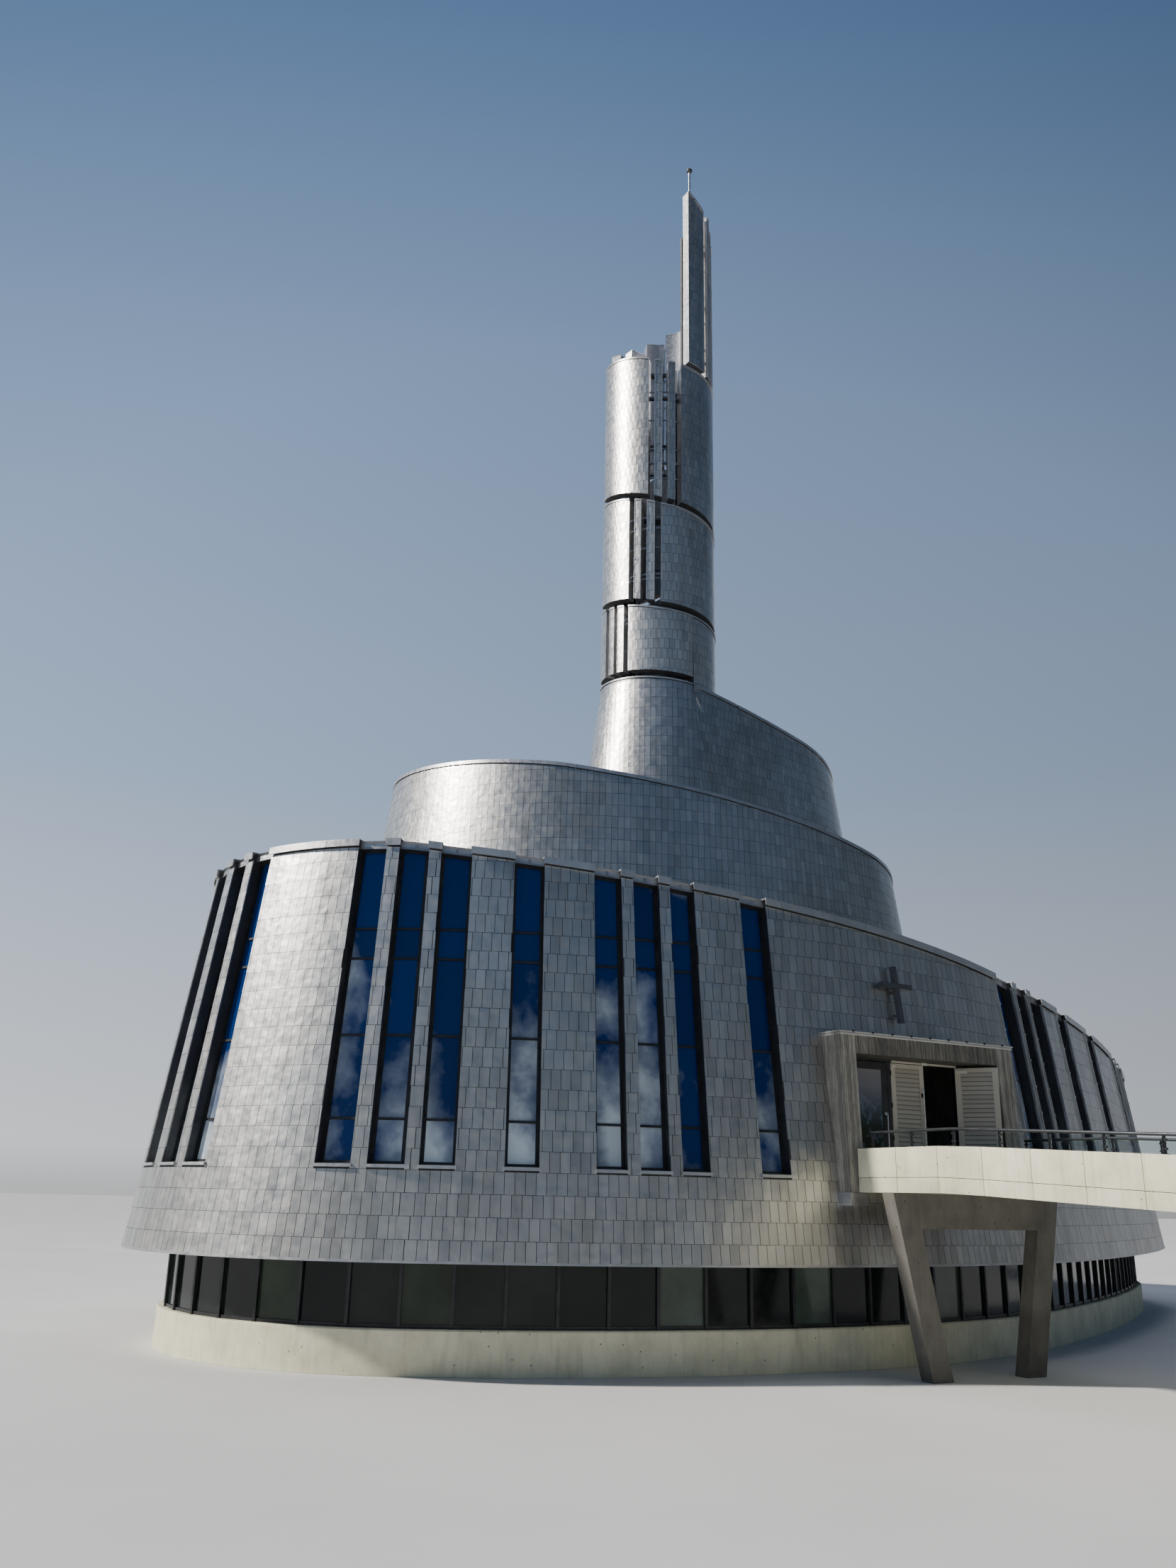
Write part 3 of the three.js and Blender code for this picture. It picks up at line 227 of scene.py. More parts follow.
# Portal, doors and bridge
PORTAL_CORNER = (3.05, -18.97)
PORTAL_TURN = math.radians(28)
BISECTIONS = 30
PORTAL_STEPS = 8
PORTAL_COS = math.cos(PORTAL_TURN)
PORTAL_SIN = math.sin(PORTAL_TURN)
PORTAL_FOOT = 3.6
PORTAL_TOP = 6.95
PORTAL_LEAN = 0.05
PORTAL_WIDTH = 5.1
PORTAL_SIDES = ((0.0, -1), (PORTAL_WIDTH, 1))  # place across the portal, outward way
JAMB_LEFT = 0.4
JAMB_RIGHT = 0.48
HEADER = 0.42
BOARD = 0.045
BOARD_PROUD = 0.008
BOARD_GAP = 0.003  # half the groove between two boards
BOARD_BACK = 0.002
DOOR_SETBACK = 0.8
DOOR_CENTRE = 2.93
LEAF = (0.98, 0.055)  # width and thickness
LEAF_FOOT = 3.88
LEAF_TOP = 6.46
LEAF_GAP = 0.014
LEAF_PROUD = 0.005
DOOR_POST = 0.09
KNUCKLE = (0.0135, 0.11)  # radius and height of a hinge barrel
KNUCKLE_HEIGHTS = (4.08, 4.8, 5.52, 6.24)
RIGHT_LEAF_OPEN = 126
LOUVRE_PITCH = 0.1
STILE = 0.13
TOP_RAIL = 0.1
FOOT_RAIL = 0.14
LEAF_PANEL = (0.022, 0.033)  # front and back of the panel behind the louvres
PULL_OUT = -0.06
PULL_IN = 0.075  # from the leaf's free edge
# Pull bars: foot and head, radius, heights of the holders, (half width, reach, half height) of their blocks
LEAF_PULL = ((4.45, 5.95), 0.017, (4.62, 5.78), ((0.01, 0.058, 0.02), (0.025, 0.006, 0.05)))
GLASS_PULL = ((4.45, 5.35), 0.016, (4.47, 5.33), ((0.013, 0.062, 0.013), (0.03, 0.005, 0.03)))
FLASHING_FOLDS = ((-0.03, 0.035, 0.045), (0.025, 0.055, 0.03))  # foot above the top, overhang, height
FLASHING_CLIPS = (9, 0.3, 0.56)  # count, place of the first, spacing
BRIDGE_LEFT = 0.2
BRIDGE_WIDTH = 4.7
BRIDGE_LENGTH = 9.6
BRIDGE_FLAT = 2.75
BRIDGE_FALL = 0.052
PARAPET = (0.2, 3.6, 4.49)  # width, foot and top
BAY = 1.2
BAY_JOINT = 0.006  # half the open joint between two bays
ROUGH_PART = 0.33  # of the parapet's height
RAIL_HEIGHT = 0.35
RAIL_RADIUS = 0.03
RAIL_INSET = 0.1
RAIL_START = 0.4
RAIL_GLASS = (0.01, 0.02, 0.27)  # thickness, foot and head above the parapet

# The sky in front of the building and behind it: (sine of the elevation, colour)
SKY_FRONT = [
    (0.0, (0.20, 0.20, 0.185)), (0.1, (0.235, 0.265, 0.285)), (0.3, (0.15, 0.225, 0.32)),
    (0.5, (0.065, 0.15, 0.295)), (0.68, (0.012, 0.06, 0.17)), (1.0, (0.005, 0.03, 0.10)),
]
SKY_BACK = [
    (0.0, (0.55, 0.56, 0.57)), (0.03, (0.74, 0.77, 0.81)), (0.3, (0.36, 0.48, 0.68)),
    (0.9, (0.10, 0.21, 0.45)),
]
SKY_TURN = (0.35, 0.8)  # the view's Y between which the front sky gives way to the one behind
SKY_STRENGTH = (1.4, 0.4)  # at the left and at the right
SUN = ((-60, -5.5, 48), 5.4, 3, (1.0, 0.94, 0.86))  # place, energy, angle, colour
FILLS = [
    ("fill_back", (10, 40, 24), 26, 1200, (0.95, 0.96, 1.0)),
    ("fill_above", (0, 0, 60), 40, 6500, (1.0, 0.97, 0.93)),
]
LIGHT_TARGET = (0, 0, 6)
FLOOR_REACH = 300
FLOOR_DROP = 0.002

# The camera stands where the photograph was taken
CAMERA_PLACE = (-1.35, -23.6, 1.675)
CAMERA_LENS = 29.296
CAMERA_SENSOR = 36
CAMERA_TILT = 18
CAMERA_ROLL = 1.27
CAMERA_REACH = 1000


# The wall as a curve


def outward(heading):
    angle = math.radians(heading)
    return math.sin(angle), -math.cos(angle)


def lay_out_arcs():
    """Each arc as (radius, from, to, centre x, centre y, start distance)."""
    arcs = []
    x = y = start = 0.0
    begin = TOWER_TOP
    for i, (radius, end) in enumerate(PLAN):
        arcs.append((radius, begin, end, x, y, start))
        start += math.radians(end - begin) * radius
        if i + 1 < len(PLAN):
            nx, ny = outward(end)
            step = radius - PLAN[i + 1][0]
            x += step * nx
            y += step * ny
        begin = end
    return arcs


ARCS = lay_out_arcs()


def arc_at(heading):
    for arc in ARCS:
        if heading <= arc[2]:
            return arc
    return ARCS[-1]


def distance_at(heading):
    radius, begin, _, _, _, start = arc_at(heading)
    return start + math.radians(heading - begin) * radius


def heading_at(distance):
    radius, begin, _, _, _, start = [arc for arc in ARCS if arc[5] <= distance][-1]
    return begin + math.degrees((distance - start) / radius)


TOP_DISTANCES = [distance_at(h) for h, _ in TOP_EDGE]
TOP_HEIGHTS = [z for _, z in TOP_EDGE]


@lru_cache(maxsize=None)
def top_at(heading):
    return float(np.interp(distance_at(heading), TOP_DISTANCES, TOP_HEIGHTS))


def gap_foot(heading):
    return top_at(heading + 360) + TOWER_GAP


def roof_at(heading):
    return top_at(heading) - ROOF_DROP


def roof_foot(heading):
    return roof_at(heading + 360) - ROOF


def wall_point(heading, z, depth=0.0):
    """A point on the leaning outer face, moved inwards by a depth."""
    radius, _, _, x, y, _ = arc_at(heading)
    reference = BATTER_TOP if heading < TOWER_END else top_at(heading)
    nx, ny = outward(heading)
    r = radius + BATTER * max(0.0, reference - z) - depth
    return x + r * nx, y + r * ny, z


def window_heading(metres):
    return heading_at(distance_at(LOWER_LEFT) + metres)


def turn_of(metres, heading):
    return math.degrees(metres / arc_at(heading)[0])


def stations(start, end, step=None):
    """Headings from one to another, evenly spread along the wall."""
    step = step or (TOWER_STEP if start < TOWER_END else WALL_STEP)
    a, b = distance_at(start), distance_at(end)
    count = max(1, math.ceil((b - a) / step))
    return [start, *[heading_at(a + (b - a) * i / count) for i in range(1, count)], end]


def portal_point(u, f, z):
    """A point from its place across the portal and before the portal's front plane."""
    x, y = PORTAL_CORNER
    return x + PORTAL_COS * u + PORTAL_SIN * f, y + PORTAL_SIN * u - PORTAL_COS * f, z


def portal_place(heading, z, depth=0.0):
    """Where a point of the wall lies: its place across the portal, and before the front plane."""
    x, y, _ = wall_point(heading, z, depth)
    x, y = x - PORTAL_CORNER[0], y - PORTAL_CORNER[1]
    return x * PORTAL_COS + y * PORTAL_SIN, x * PORTAL_SIN - y * PORTAL_COS


def lean_at(z):
    return -PORTAL_LEAN * (z - PORTAL_FOOT)


def mix(a, b, t):
    return a + (b - a) * t


# Meshes


class Sheet:
    """Faces collected for one piece, each with a tone and a material number."""

    def __init__(self):
        self.points = []
        self.faces = []
        self.tones = []
        self.materials = []

    def add(self, points, faces, material, tone):
        """Adds points, and faces that count these points from zero."""
        first = len(self.points)
        self.points += points
        self.faces += [tuple(first + i for i in face) for face in faces]
        self.tones += [tone] * len(faces)
        self.materials += [material] * len(faces)

    def face(self, points, material, tone=0.5):
        self.add(points, [range(len(points))], material, tone)

    def hexahedron(self, low, high, material, tone):
        """A body between two quads whose corners match."""
        sides = [[low[i], low[j], high[j], high[i]] for i, j in ((0, 1), (1, 2), (2, 3), (3, 0))]
        for quad in (low[::-1], high, *sides):
            self.face(quad, material, tone)

    def loft(self, rings, material=0, tone=0.5, closed=False):
        """A body through rings of points that all have the same count."""
        n = len(rings[0])
        steps = [(i, (i + 1) % len(rings)) for i in range(len(rings) if closed else len(rings) - 1)]
        sides = [(k, (k + 1) % n) for k in range(n)]
        faces = [(i * n + k, j * n + k, j * n + m, i * n + m) for i, j in steps for k, m in sides]
        self.add([point for ring in rings for point in ring], faces, material, tone)
        if not closed:
            self.face(rings[0][::-1], material, tone)
            self.face(rings[-1], material, tone)

    def grid(self, rows, material, tone=0.5):
        """An open surface through rows of points."""
        n = len(rows[0])
        corners = [i * n + k for i in range(len(rows) - 1) for k in range(n - 1)]
        faces = [(a, a + n, a + n + 1, a + 1) for a in corners]
        self.add([point for row in rows for point in row], faces, material, tone)


def block(sheet, point, xs, ys, zs, material=0, tone=0.5):
    """A body between two values of each of the three coordinates that a function turns into a point."""
    corners = ((xs[0], ys[0]), (xs[1], ys[0]), (xs[1], ys[1]), (xs[0], ys[1]))
    sheet.hexahedron(*[[point(x, y, z) for x, y in corners] for z in zs], material, tone)


def around(middle, half):
    return middle - half, middle + half


def circle(radius, sides):
    angles = [2 * math.pi * k / sides for k in range(sides)]
    return [(radius * math.cos(a), radius * math.sin(a)) for a in angles]


def make(name, sheet, materials, replaces=(), body=BODY, bevel=0.0):
    """One piece of the scene from a sheet, in model metres."""
    mesh = bpy.data.meshes.new(name)
    mesh.from_pydata([(x * SCALE, y * SCALE, z * SCALE) for x, y, z in sheet.points], [], sheet.faces)
    mesh.polygons.foreach_set("material_index", sheet.materials)
    mesh.attributes.new("tone", "FLOAT", "FACE").data.foreach_set("value", sheet.tones)
    work = bmesh.new()
    work.from_mesh(mesh)
    bmesh.ops.remove_doubles(work, verts=work.verts, dist=MERGE_DISTANCE)
    bmesh.ops.dissolve_degenerate(work, edges=work.edges, dist=MERGE_DISTANCE)
    bmesh.ops.recalc_face_normals(work, faces=work.faces)
    if bevel:
        edges = [e for e in work.edges if len(e.link_faces) == 2 and e.calc_face_angle(0) > BEVELLED_ANGLE]
        bmesh.ops.bevel(work, geom=edges, offset=bevel * SCALE, segments=2, profile=0.6, affect="EDGES")
    work.to_mesh(mesh)
    work.free()
    mesh.shade_smooth()
    mesh.set_sharp_from_angle(angle=SHARP_ANGLE)
    for material in materials:
        mesh.materials.append(material)
    piece = bpy.data.objects.new(name, mesh)
    bpy.context.scene.collection.objects.link(piece)
    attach(piece, body)
    if replaces:
        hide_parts(*replaces)


# Materials

WHITE = (1, 1, 1)


def grey(level):
    return level, level, level


def scaled(colour, part):
    return tuple(c * part for c in colour)


class Nodes:
    """A node tree with a few helpers. An input is a number, a colour or another node's output."""

    def __init__(self, tree, place):
        self.tree = tree
        self.place = self.node("TexCoord").outputs[place]

    def feed(self, socket, source):
        if isinstance(source, bpy.types.NodeSocket):
            self.tree.links.new(source, socket)
        else:
            socket.default_value = (*source, 1) if socket.type == "RGBA" else source

    def node(self, kind, **inputs):
        node = self.tree.nodes.new("ShaderNode" + kind)
        for label, source in inputs.items():
            self.feed(node.inputs[label.replace("_", " ").title()], source)
        return node

    def axes(self):
        return self.node("SeparateXYZ", vector=self.place).outputs

    def span(self, source, low, high, to_low=0.0, to_high=1.0):
        """Maps a value from one range to another, held at the ends."""
        node = self.node(
            "MapRange", value=source, from_min=low, from_max=high, to_min=to_low, to_max=to_high
        )
        return node.outputs["Result"]

    def ramp(self, source, stops):
        node = self.node("ValToRGB", fac=source)
        elements = node.color_ramp.elements
        while len(elements) < len(stops):
            elements.new(0.5)
        for element, (position, colour) in zip(elements, stops):
            element.position = position
            element.color = (*colour, 1)
        return node.outputs["Color"]

    def blend(self, factor, a, b, mode="MIX"):
        node = self.node("Mix", factor=factor)
        node.data_type = "RGBA"
        node.blend_type = mode
        for source, label in ((a, "A"), (b, "B")):
            self.feed([s for s in node.inputs if s.name == label and s.type == "RGBA"][0], source)
        return [s for s in node.outputs if s.type == "RGBA"][0]

    def product(self, first, *others):
        """Colours multiplied with one another."""
        for other in others:
            first = self.blend(1.0, first, other, "MULTIPLY")
        return first

    def combine(self, operation, a, b):
        node = self.node("Math")
        node.operation = operation
        self.feed(node.inputs[0], a)
        self.feed(node.inputs[1], b)
        return node.outputs["Value"]


class Look(Nodes):
    """A material, with its colour, roughness and bumps."""

    def __init__(self, name, roughness, metallic=0.0):
        self.material = bpy.data.materials.new(name)
        self.material.use_nodes = True
        super().__init__(self.material.node_tree, "Object")
        self.shader = self.tree.nodes["Principled BSDF"]
        self.shader.inputs["Roughness"].default_value = roughness
        self.shader.inputs["Metallic"].default_value = metallic

    def stretched(self, x, y, z):
        return self.node("Mapping", vector=self.place, scale=(x, y, z)).outputs["Vector"]

    def noise(self, scale, detail=3.0, place=None, rough=0.5):
        node = self.node("TexNoise", scale=scale, detail=detail, roughness=rough, vector=place or self.place)
        return node.outputs["Fac"]

    def cells(self, scale):
        """The distance to the nearest of many scattered points."""
        return self.node("TexVoronoi", scale=scale, vector=self.place).outputs["Distance"]

    def tones(self, *stops):
        """A colour that goes with each face's tone."""
        node = self.node("Attribute")
        node.attribute_name = "tone"
        return self.ramp(node.outputs["Fac"], stops)

    def colour(self, *layers):
        self.feed(self.shader.inputs["Base Color"], self.product(*layers))

    def roughness(self, source, low, high):
        self.feed(self.shader.inputs["Roughness"], self.span(source, 0.3, 0.7, low, high))

    def bump(self, *heights):
        """Bumps from (height source, distance in metres) pairs, one on the other."""
        normal = None
        for source, distance in heights:
            node = self.node("Bump", distance=distance, height=source)
            if normal:
                self.feed(node.inputs["Normal"], normal)
            normal = node.outputs["Normal"]
        self.feed(self.shader.inputs["Normal"], normal)


def titanium(name, dark, light):
    """Thin shingles: each has a tone of its own, a soft buckle, faint stains down the wall, and large warm
    darker patches that are a painted reflection of the ground.
    """
    look = Look(name, 0.38, 0.95)
    tones = look.tones((0.0, dark), (1.0, light))
    streak = look.span(look.noise(1.0, 4, look.stretched(7, 7, 0.5)), 0.35, 0.7, 1.0, 0.0)
    stain = look.ramp(streak, [(0.0, (0.86, 0.84, 0.81)), (1.0, WHITE)])
    # Large warm darker patches: a painted reflection of the ground.
    painted_ground_reflection = look.ramp(look.noise(0.45, 3), [(0.35, (0.90, 0.88, 0.84)), (0.6, WHITE)])
    look.colour(tones, stain, painted_ground_reflection)
    look.roughness(look.noise(9, 3), 0.33, 0.43)
    look.bump((look.noise(7.5, 1.5), 0.006), (look.noise(160, 2), 0.00025))
    return look.material


def metal(name, colour, roughness, uneven=0.003):
    """Folded sheet metal with slight waves and a patchy sheen."""
    look = Look(name, roughness, 0.85)
    patches = look.ramp(look.noise(3.5, 5), [(0.3, scaled(colour, 0.78)), (0.7, colour)])
    look.colour(patches, look.tones((0.0, (0.82, 0.82, 0.84)), (1.0, WHITE)))
    look.roughness(look.noise(20, 4), roughness - 0.07, roughness + 0.1)
    look.bump((look.noise(5, 2), uneven), (look.noise(220, 2), 0.0002))
    return look.material


def fair_concrete(name, light, dark, pores=True):
    """Cast concrete with cloudy patches, faint runs, small pores and a few larger holes, darkened inside with
    painted shade.
    """
    look = Look(name, 0.85)
    clouds = look.ramp(look.noise(2.4, 6, rough=0.6), [(0.3, dark), (0.62, light)])
    runs = look.span(look.noise(1.0, 5, look.stretched(16, 16, 2.2)), 0.5, 0.75, 0.0, 0.28)
    stained = look.blend(runs, clouds, scaled(dark, 0.5))
    grain = look.ramp(look.noise(130, 3), [(0.3, grey(0.86)), (0.7, WHITE)])
    surface = look.product(stained, look.tones((0.0, grey(0.84)), (1.0, WHITE)), grain)
    look.roughness(look.noise(30, 4), 0.72, 0.95)
    heights = [(look.noise(70, 5), 0.0015)]
    if pores:
        heights.append((look.span(look.cells(34), 0.0, 0.16), 0.0022))
        shaded_holes = look.span(look.cells(8), 0.05, 0.085)
        # The larger holes are darkened: painted shade inside them.
        surface = look.blend(shaded_holes, scaled(dark, 0.45), surface)
        heights.append((shaded_holes, 0.004))
    look.colour(surface)
    look.bump(*heights)
    return look.material


def board_concrete(name, dark, light):
    """Concrete cast against rough upright boards, whose grain stays in it."""
    look = Look(name, 0.88)
    grain = look.noise(1.0, 6, look.stretched(90, 90, 5), 0.65)
    wood = look.ramp(grain, [(0.25, dark), (0.75, light)])
    clouds = look.ramp(look.noise(3.2, 5), [(0.3, (0.7, 0.69, 0.67)), (0.7, (1.0, 0.99, 0.97))])
    look.colour(wood, clouds, look.tones((0.0, grey(0.6)), (1.0, (1.15, 1.13, 1.1))))
    look.roughness(grain, 0.95, 0.75)
    look.bump((grain, 0.004), (look.noise(120, 4), 0.001))
    return look.material


def window_glass():
    """Glazing that gives back the sky: a deep blue with soft clouds in its lower part."""
    look = Look("window_glass_blue", 0.06, 0.1)
    deep, bright = (0.002, 0.028, 0.15), (0.72, 0.82, 0.88)
    between = tuple(mix(a, b, 0.35) for a, b in zip(deep, bright))
    low = look.span(look.axes()["Z"], 2.2, 4.3, 0.13, -0.14)
    shapes = look.combine("ADD", look.noise(0.9, 5, look.stretched(1, 1, 0.8), 0.55), low)
    sky = look.ramp(look.span(shapes, 0.47, 0.66), [(0.0, deep), (0.5, between), (1.0, bright)])
    look.colour(sky, look.tones((0.0, grey(0.8)), (1.0, grey(1.15))))
    look.roughness(look.noise(14, 3), 0.04, 0.11)
    look.bump((look.noise(3.2, 1), 0.0016))
    return look.material


def door_glass():
    """The entrance's glass, with a painted reflection: a soft sky above the dark shapes of trees."""
    look = Look("door_glass", 0.06, 0.1)
    height = look.axes()["Z"]
    stops = [
        (0.0, (0.05, 0.055, 0.05)), (0.5, (0.12, 0.17, 0.24)), (0.8, (0.21, 0.21, 0.25)),
        (1.0, (0.26, 0.25, 0.26)),
    ]
    sky = look.ramp(look.span(height, 2.0, 3.25), stops)
    crown = look.span(look.noise(7.0, 6, rough=0.65), 0.42, 0.5)
    trees = look.combine("MULTIPLY", crown, look.span(height, 2.45, 2.95, 1.0, 0.0))
    look.colour(look.blend(trees, sky, (0.022, 0.03, 0.014)))
    look.roughness(look.noise(14, 3), 0.04, 0.1)
    return look.material


def band_glass():
    """The ground storey's glazing: dark, with a pale greenish pane here and there."""
    look = Look("ground_glass_dark", 0.08)
    look.shader.inputs["Specular IOR Level"].default_value = 0.22
    panes = [
        (0.0, (0.008, 0.011, 0.012)), (0.6, (0.02, 0.028, 0.024)), (0.78, (0.05, 0.075, 0.05)),
        (1.0, (0.17, 0.21, 0.19)),
    ]
    shapes = look.ramp(look.noise(1.6, 4), [(0.35, grey(0.6)), (0.7, grey(1.2))])
    look.colour(look.tones(*panes), shapes)
    look.roughness(look.noise(14, 3), 0.05, 0.12)
    return look.material


def clear_glass():
    """Thin clear panes of the railing."""
    look = Look("clear_glass", 0.05)
    look.shader.inputs["Transmission Weight"].default_value = 1.0
    look.shader.inputs["IOR"].default_value = 1.12
    look.colour(look.ramp(look.noise(2.0, 3), [(0.3, (0.80, 0.86, 0.87)), (0.7, (0.88, 0.92, 0.93))]))
    look.roughness(look.noise(25, 4), 0.0, 0.04)
    return look.material


def painted(name, colour, roughness, metallic=0.0, darkest_tone_and_shade=0.8):
    """Powder-coated metal with faint dust and fine texture."""
    look = Look(name, roughness, metallic)
    dusty = tuple(mix(c, 0.5, 0.08) for c in colour)
    dust = look.ramp(look.noise(6, 6, rough=0.6), [(0.35, colour), (0.85, dusty)])
    look.colour(dust, look.tones((0.0, grey(darkest_tone_and_shade)), (1.0, WHITE)))
    look.roughness(look.noise(40, 3), roughness - 0.06, roughness + 0.1)
    look.bump((look.noise(260, 2), 0.0002))
    return look.material


TITANIUM = titanium("titanium_shingles", (0.49, 0.495, 0.50), (0.70, 0.70, 0.69))
JOINTS = painted("joint_shadow", (0.045, 0.047, 0.052), 0.7, 0.3)
COPING_METAL = metal("coping_sheet", (0.64, 0.64, 0.64), 0.36)
TRIM_METAL = metal("bright_trim", (0.78, 0.78, 0.79), 0.28, 0.001)
# Near-black window reveals: painted shade in the window openings.
REVEAL_SHADE = painted("window_reveal_shade", (0.05, 0.052, 0.058), 0.42, 0.5)
PANEL = metal("head_panel", (0.42, 0.43, 0.46), 0.4)
PLASTER = fair_concrete("inner_plaster", (0.62, 0.61, 0.58), (0.5, 0.49, 0.47), pores=False)
ROOF_METAL = metal("standing_seam_roof", (0.40, 0.41, 0.43), 0.45, 0.004)
SEAM = metal("roof_seam", (0.34, 0.35, 0.37), 0.42, 0.001)
CONCRETE = fair_concrete("cast_concrete", (1.0, 0.965, 0.72), (0.76, 0.73, 0.53))
ROUGH_CONCRETE = fair_concrete("rough_concrete", (0.90, 0.865, 0.65), (0.66, 0.63, 0.46))
# A dark copy of the cast concrete: painted shade on the piers, and in the joints between the parapet's bays,
# where its core shows.
SHADED_CONCRETE = fair_concrete("pier_concrete_shade", (0.21, 0.20, 0.175), (0.13, 0.123, 0.108))
BOARDS = board_concrete("board_marked_dark", (0.075, 0.073, 0.068), (0.34, 0.33, 0.30))
PALE_BOARDS = board_concrete("board_marked_pale", (0.15, 0.147, 0.135), (0.58, 0.565, 0.52))
FLASHING = metal("portal_flashing_sheet", (0.70, 0.69, 0.66), 0.4, 0.001)
CROSS_METAL = metal("cross_steel", (0.20, 0.205, 0.215), 0.42, 0.001)
WINDOW_GLASS = window_glass()
DOOR_GLASS = door_glass()
BAND_GLASS = band_glass()
CLEAR_GLASS = clear_glass()
DARK_FRAME = painted("dark_frame_paint", (0.022, 0.024, 0.028), 0.38, 0.4)
STEEL = painted("dark_steel", (0.075, 0.08, 0.09), 0.4, 0.7)
RAIL_STEEL = painted("rail_steel", (0.045, 0.05, 0.058), 0.36, 0.6)
# Its darkest tone, 0.3, paints shade: the panel behind the louvres takes it.
DOOR_PAINT = painted("door_beige", (0.56, 0.52, 0.455), 0.5, 0.1, 0.3)
PALE_PLASTIC = painted("pale_fitting", (0.72, 0.71, 0.67), 0.45)


# Wall surfaces

CLADDING, SHADOW, EDGE, INSIDE, DEEP_SHADE, RECESS = range(6)
WALL_MATERIALS = [TITANIUM, JOINTS, COPING_METAL, PLASTER, REVEAL_SHADE, PANEL]


def value(height, heading):
    """A height at a heading: it is given as a number or as a function of the heading."""
    return height(heading) if callable(height) else height


def panel(sheet, headings, foot, top, depth, material, tone=0.5):
    """An upright face of the wall, bent where the tower's lean starts."""
    rows = []
    for h in headings:
        low, high = value(foot, h), value(top, h)
        levels = [low]
        if h < TOWER_END:
            levels.append(min(max(BATTER_TOP, low), high))
        levels.append(high)
        rows.append([wall_point(h, z, depth) for z in levels])
    sheet.grid(rows, material, tone)


def shelf(sheet, headings, height, near, far, material):
    """A level or climbing face through the wall's thickness."""
    rows = [[wall_point(h, value(height, h), d) for d in (near, far)] for h in headings]
    sheet.grid(rows, material)


def cheek(sheet, heading, low, high, near, far, material, tone=0.5):
    """An upright face across the wall's thickness."""
    corners = [(low, near), (high, near), (high, far), (low, far)]
    sheet.face([wall_point(heading, z, d) for z, d in corners], material, tone)


def sweep(sheet, headings, profile, height, material, tone):
    """A bar along the wall: the profile is (depth, height above the given line) points."""
    rings = [[wall_point(h, value(height, h) + up, d) for d, up in profile] for h in headings]
    sheet.loft(rings, material, tone)


def bar(sheet, start, end, low, high, near, far, material=0, tone=0.5):
    """A straight block between two headings, two heights and two depths."""

    def point(h, depth, z):
        return wall_point(h, value(z, h), depth)

    block(sheet, point, (start, end), (near, far), (low, high), material, tone)


def skin(name, sheet):
    """The shingled piece that stands for a wall's node."""
    make(name + "_skin", sheet, WALL_MATERIALS, [name])


def wall_shell(sheet, start, end, foot, top, slots=(), below=HEAD):
    """The wall behind the shingles, with its windows' openings and reveals; the reveals and the recess behind
    the upper glass are near black, painted shade.
    """
    edges = [start, *[h for slot in slots for h in slot], end]
    for i, (a, b) in enumerate(zip(edges, edges[1:])):
        hs = stations(a, b)
        if i % 2 == 0:
            panel(sheet, hs, foot, top, BACKING, SHADOW)
            panel(sheet, hs, foot, top, WALL, INSIDE)
            continue
        head = lambda h: top_at(h) - below
        recess_top = lambda h: top_at(h) - HEAD_TOP
        panel(sheet, hs, foot, SILL, BACKING, SHADOW)
        panel(sheet, hs, foot, SILL, WALL, INSIDE)
        shelf(sheet, hs, SILL, BACKING, WALL, DEEP_SHADE)
        panel(sheet, hs, recess_top, top, BAY_SETBACK, RECESS, 0.7)
        panel(sheet, hs, head, recess_top, HEAD_RECESS, DEEP_SHADE)
        shelf(sheet, hs, recess_top, BAY_SETBACK, HEAD_RECESS, DEEP_SHADE)
        panel(sheet, hs, head, top, WALL, INSIDE)
        shelf(sheet, hs, head, HEAD_RECESS, WALL, DEEP_SHADE)
        for h in (a, b):
            cheek(sheet, h, SILL, head(h), BACKING, WALL, DEEP_SHADE)
            cheek(sheet, h, head(h), recess_top(h), BACKING, HEAD_RECESS, DEEP_SHADE)
            cheek(sheet, h, recess_top(h), value(top, h), BACKING, BAY_SETBACK, DEEP_SHADE)
    whole = stations(start, end)
    shelf(sheet, whole, top, BACKING, WALL, EDGE)
    shelf(sheet, whole, foot, BACKING, WALL, INSIDE)
    for h in (start, end):
        cheek(sheet, h, value(foot, h), value(top, h), BACKING, WALL, SHADOW)


def coping(sheet, start, end, top, height, out):
    """Folded metal along the wall's top edge, in lengths with open joints."""
    a, b = distance_at(start), distance_at(end)
    count = max(1, round((b - a) / COPING_LENGTH))
    joints = [start, *[heading_at(mix(a, b, i / count)) for i in range(1, count)], end]
    back, front = WALL + INNER_LAP, COPING_OUT - out
    profile = [
        (-out, -height), (-out, SHEET), (back, SHEET), (back, -INNER_DROP), (WALL, -INNER_DROP),
        (WALL, -0.02), (front, -0.02), (front, -height),
    ]
    for p, q in zip(joints, joints[1:]):
        gap = turn_of(COPING_GAP, p)
        sweep(sheet, stations(p + gap, q - gap), profile, top, EDGE, random.uniform(0.3, 0.9))


COURSES = [SKIRT_BOTTOM + (COURSE_BASE - SKIRT_BOTTOM) * i / SKIRT_COURSES for i in range(SKIRT_COURSES)]
COURSES += [COURSE_BASE + COURSE * i for i in range(UPPER_COURSES)]


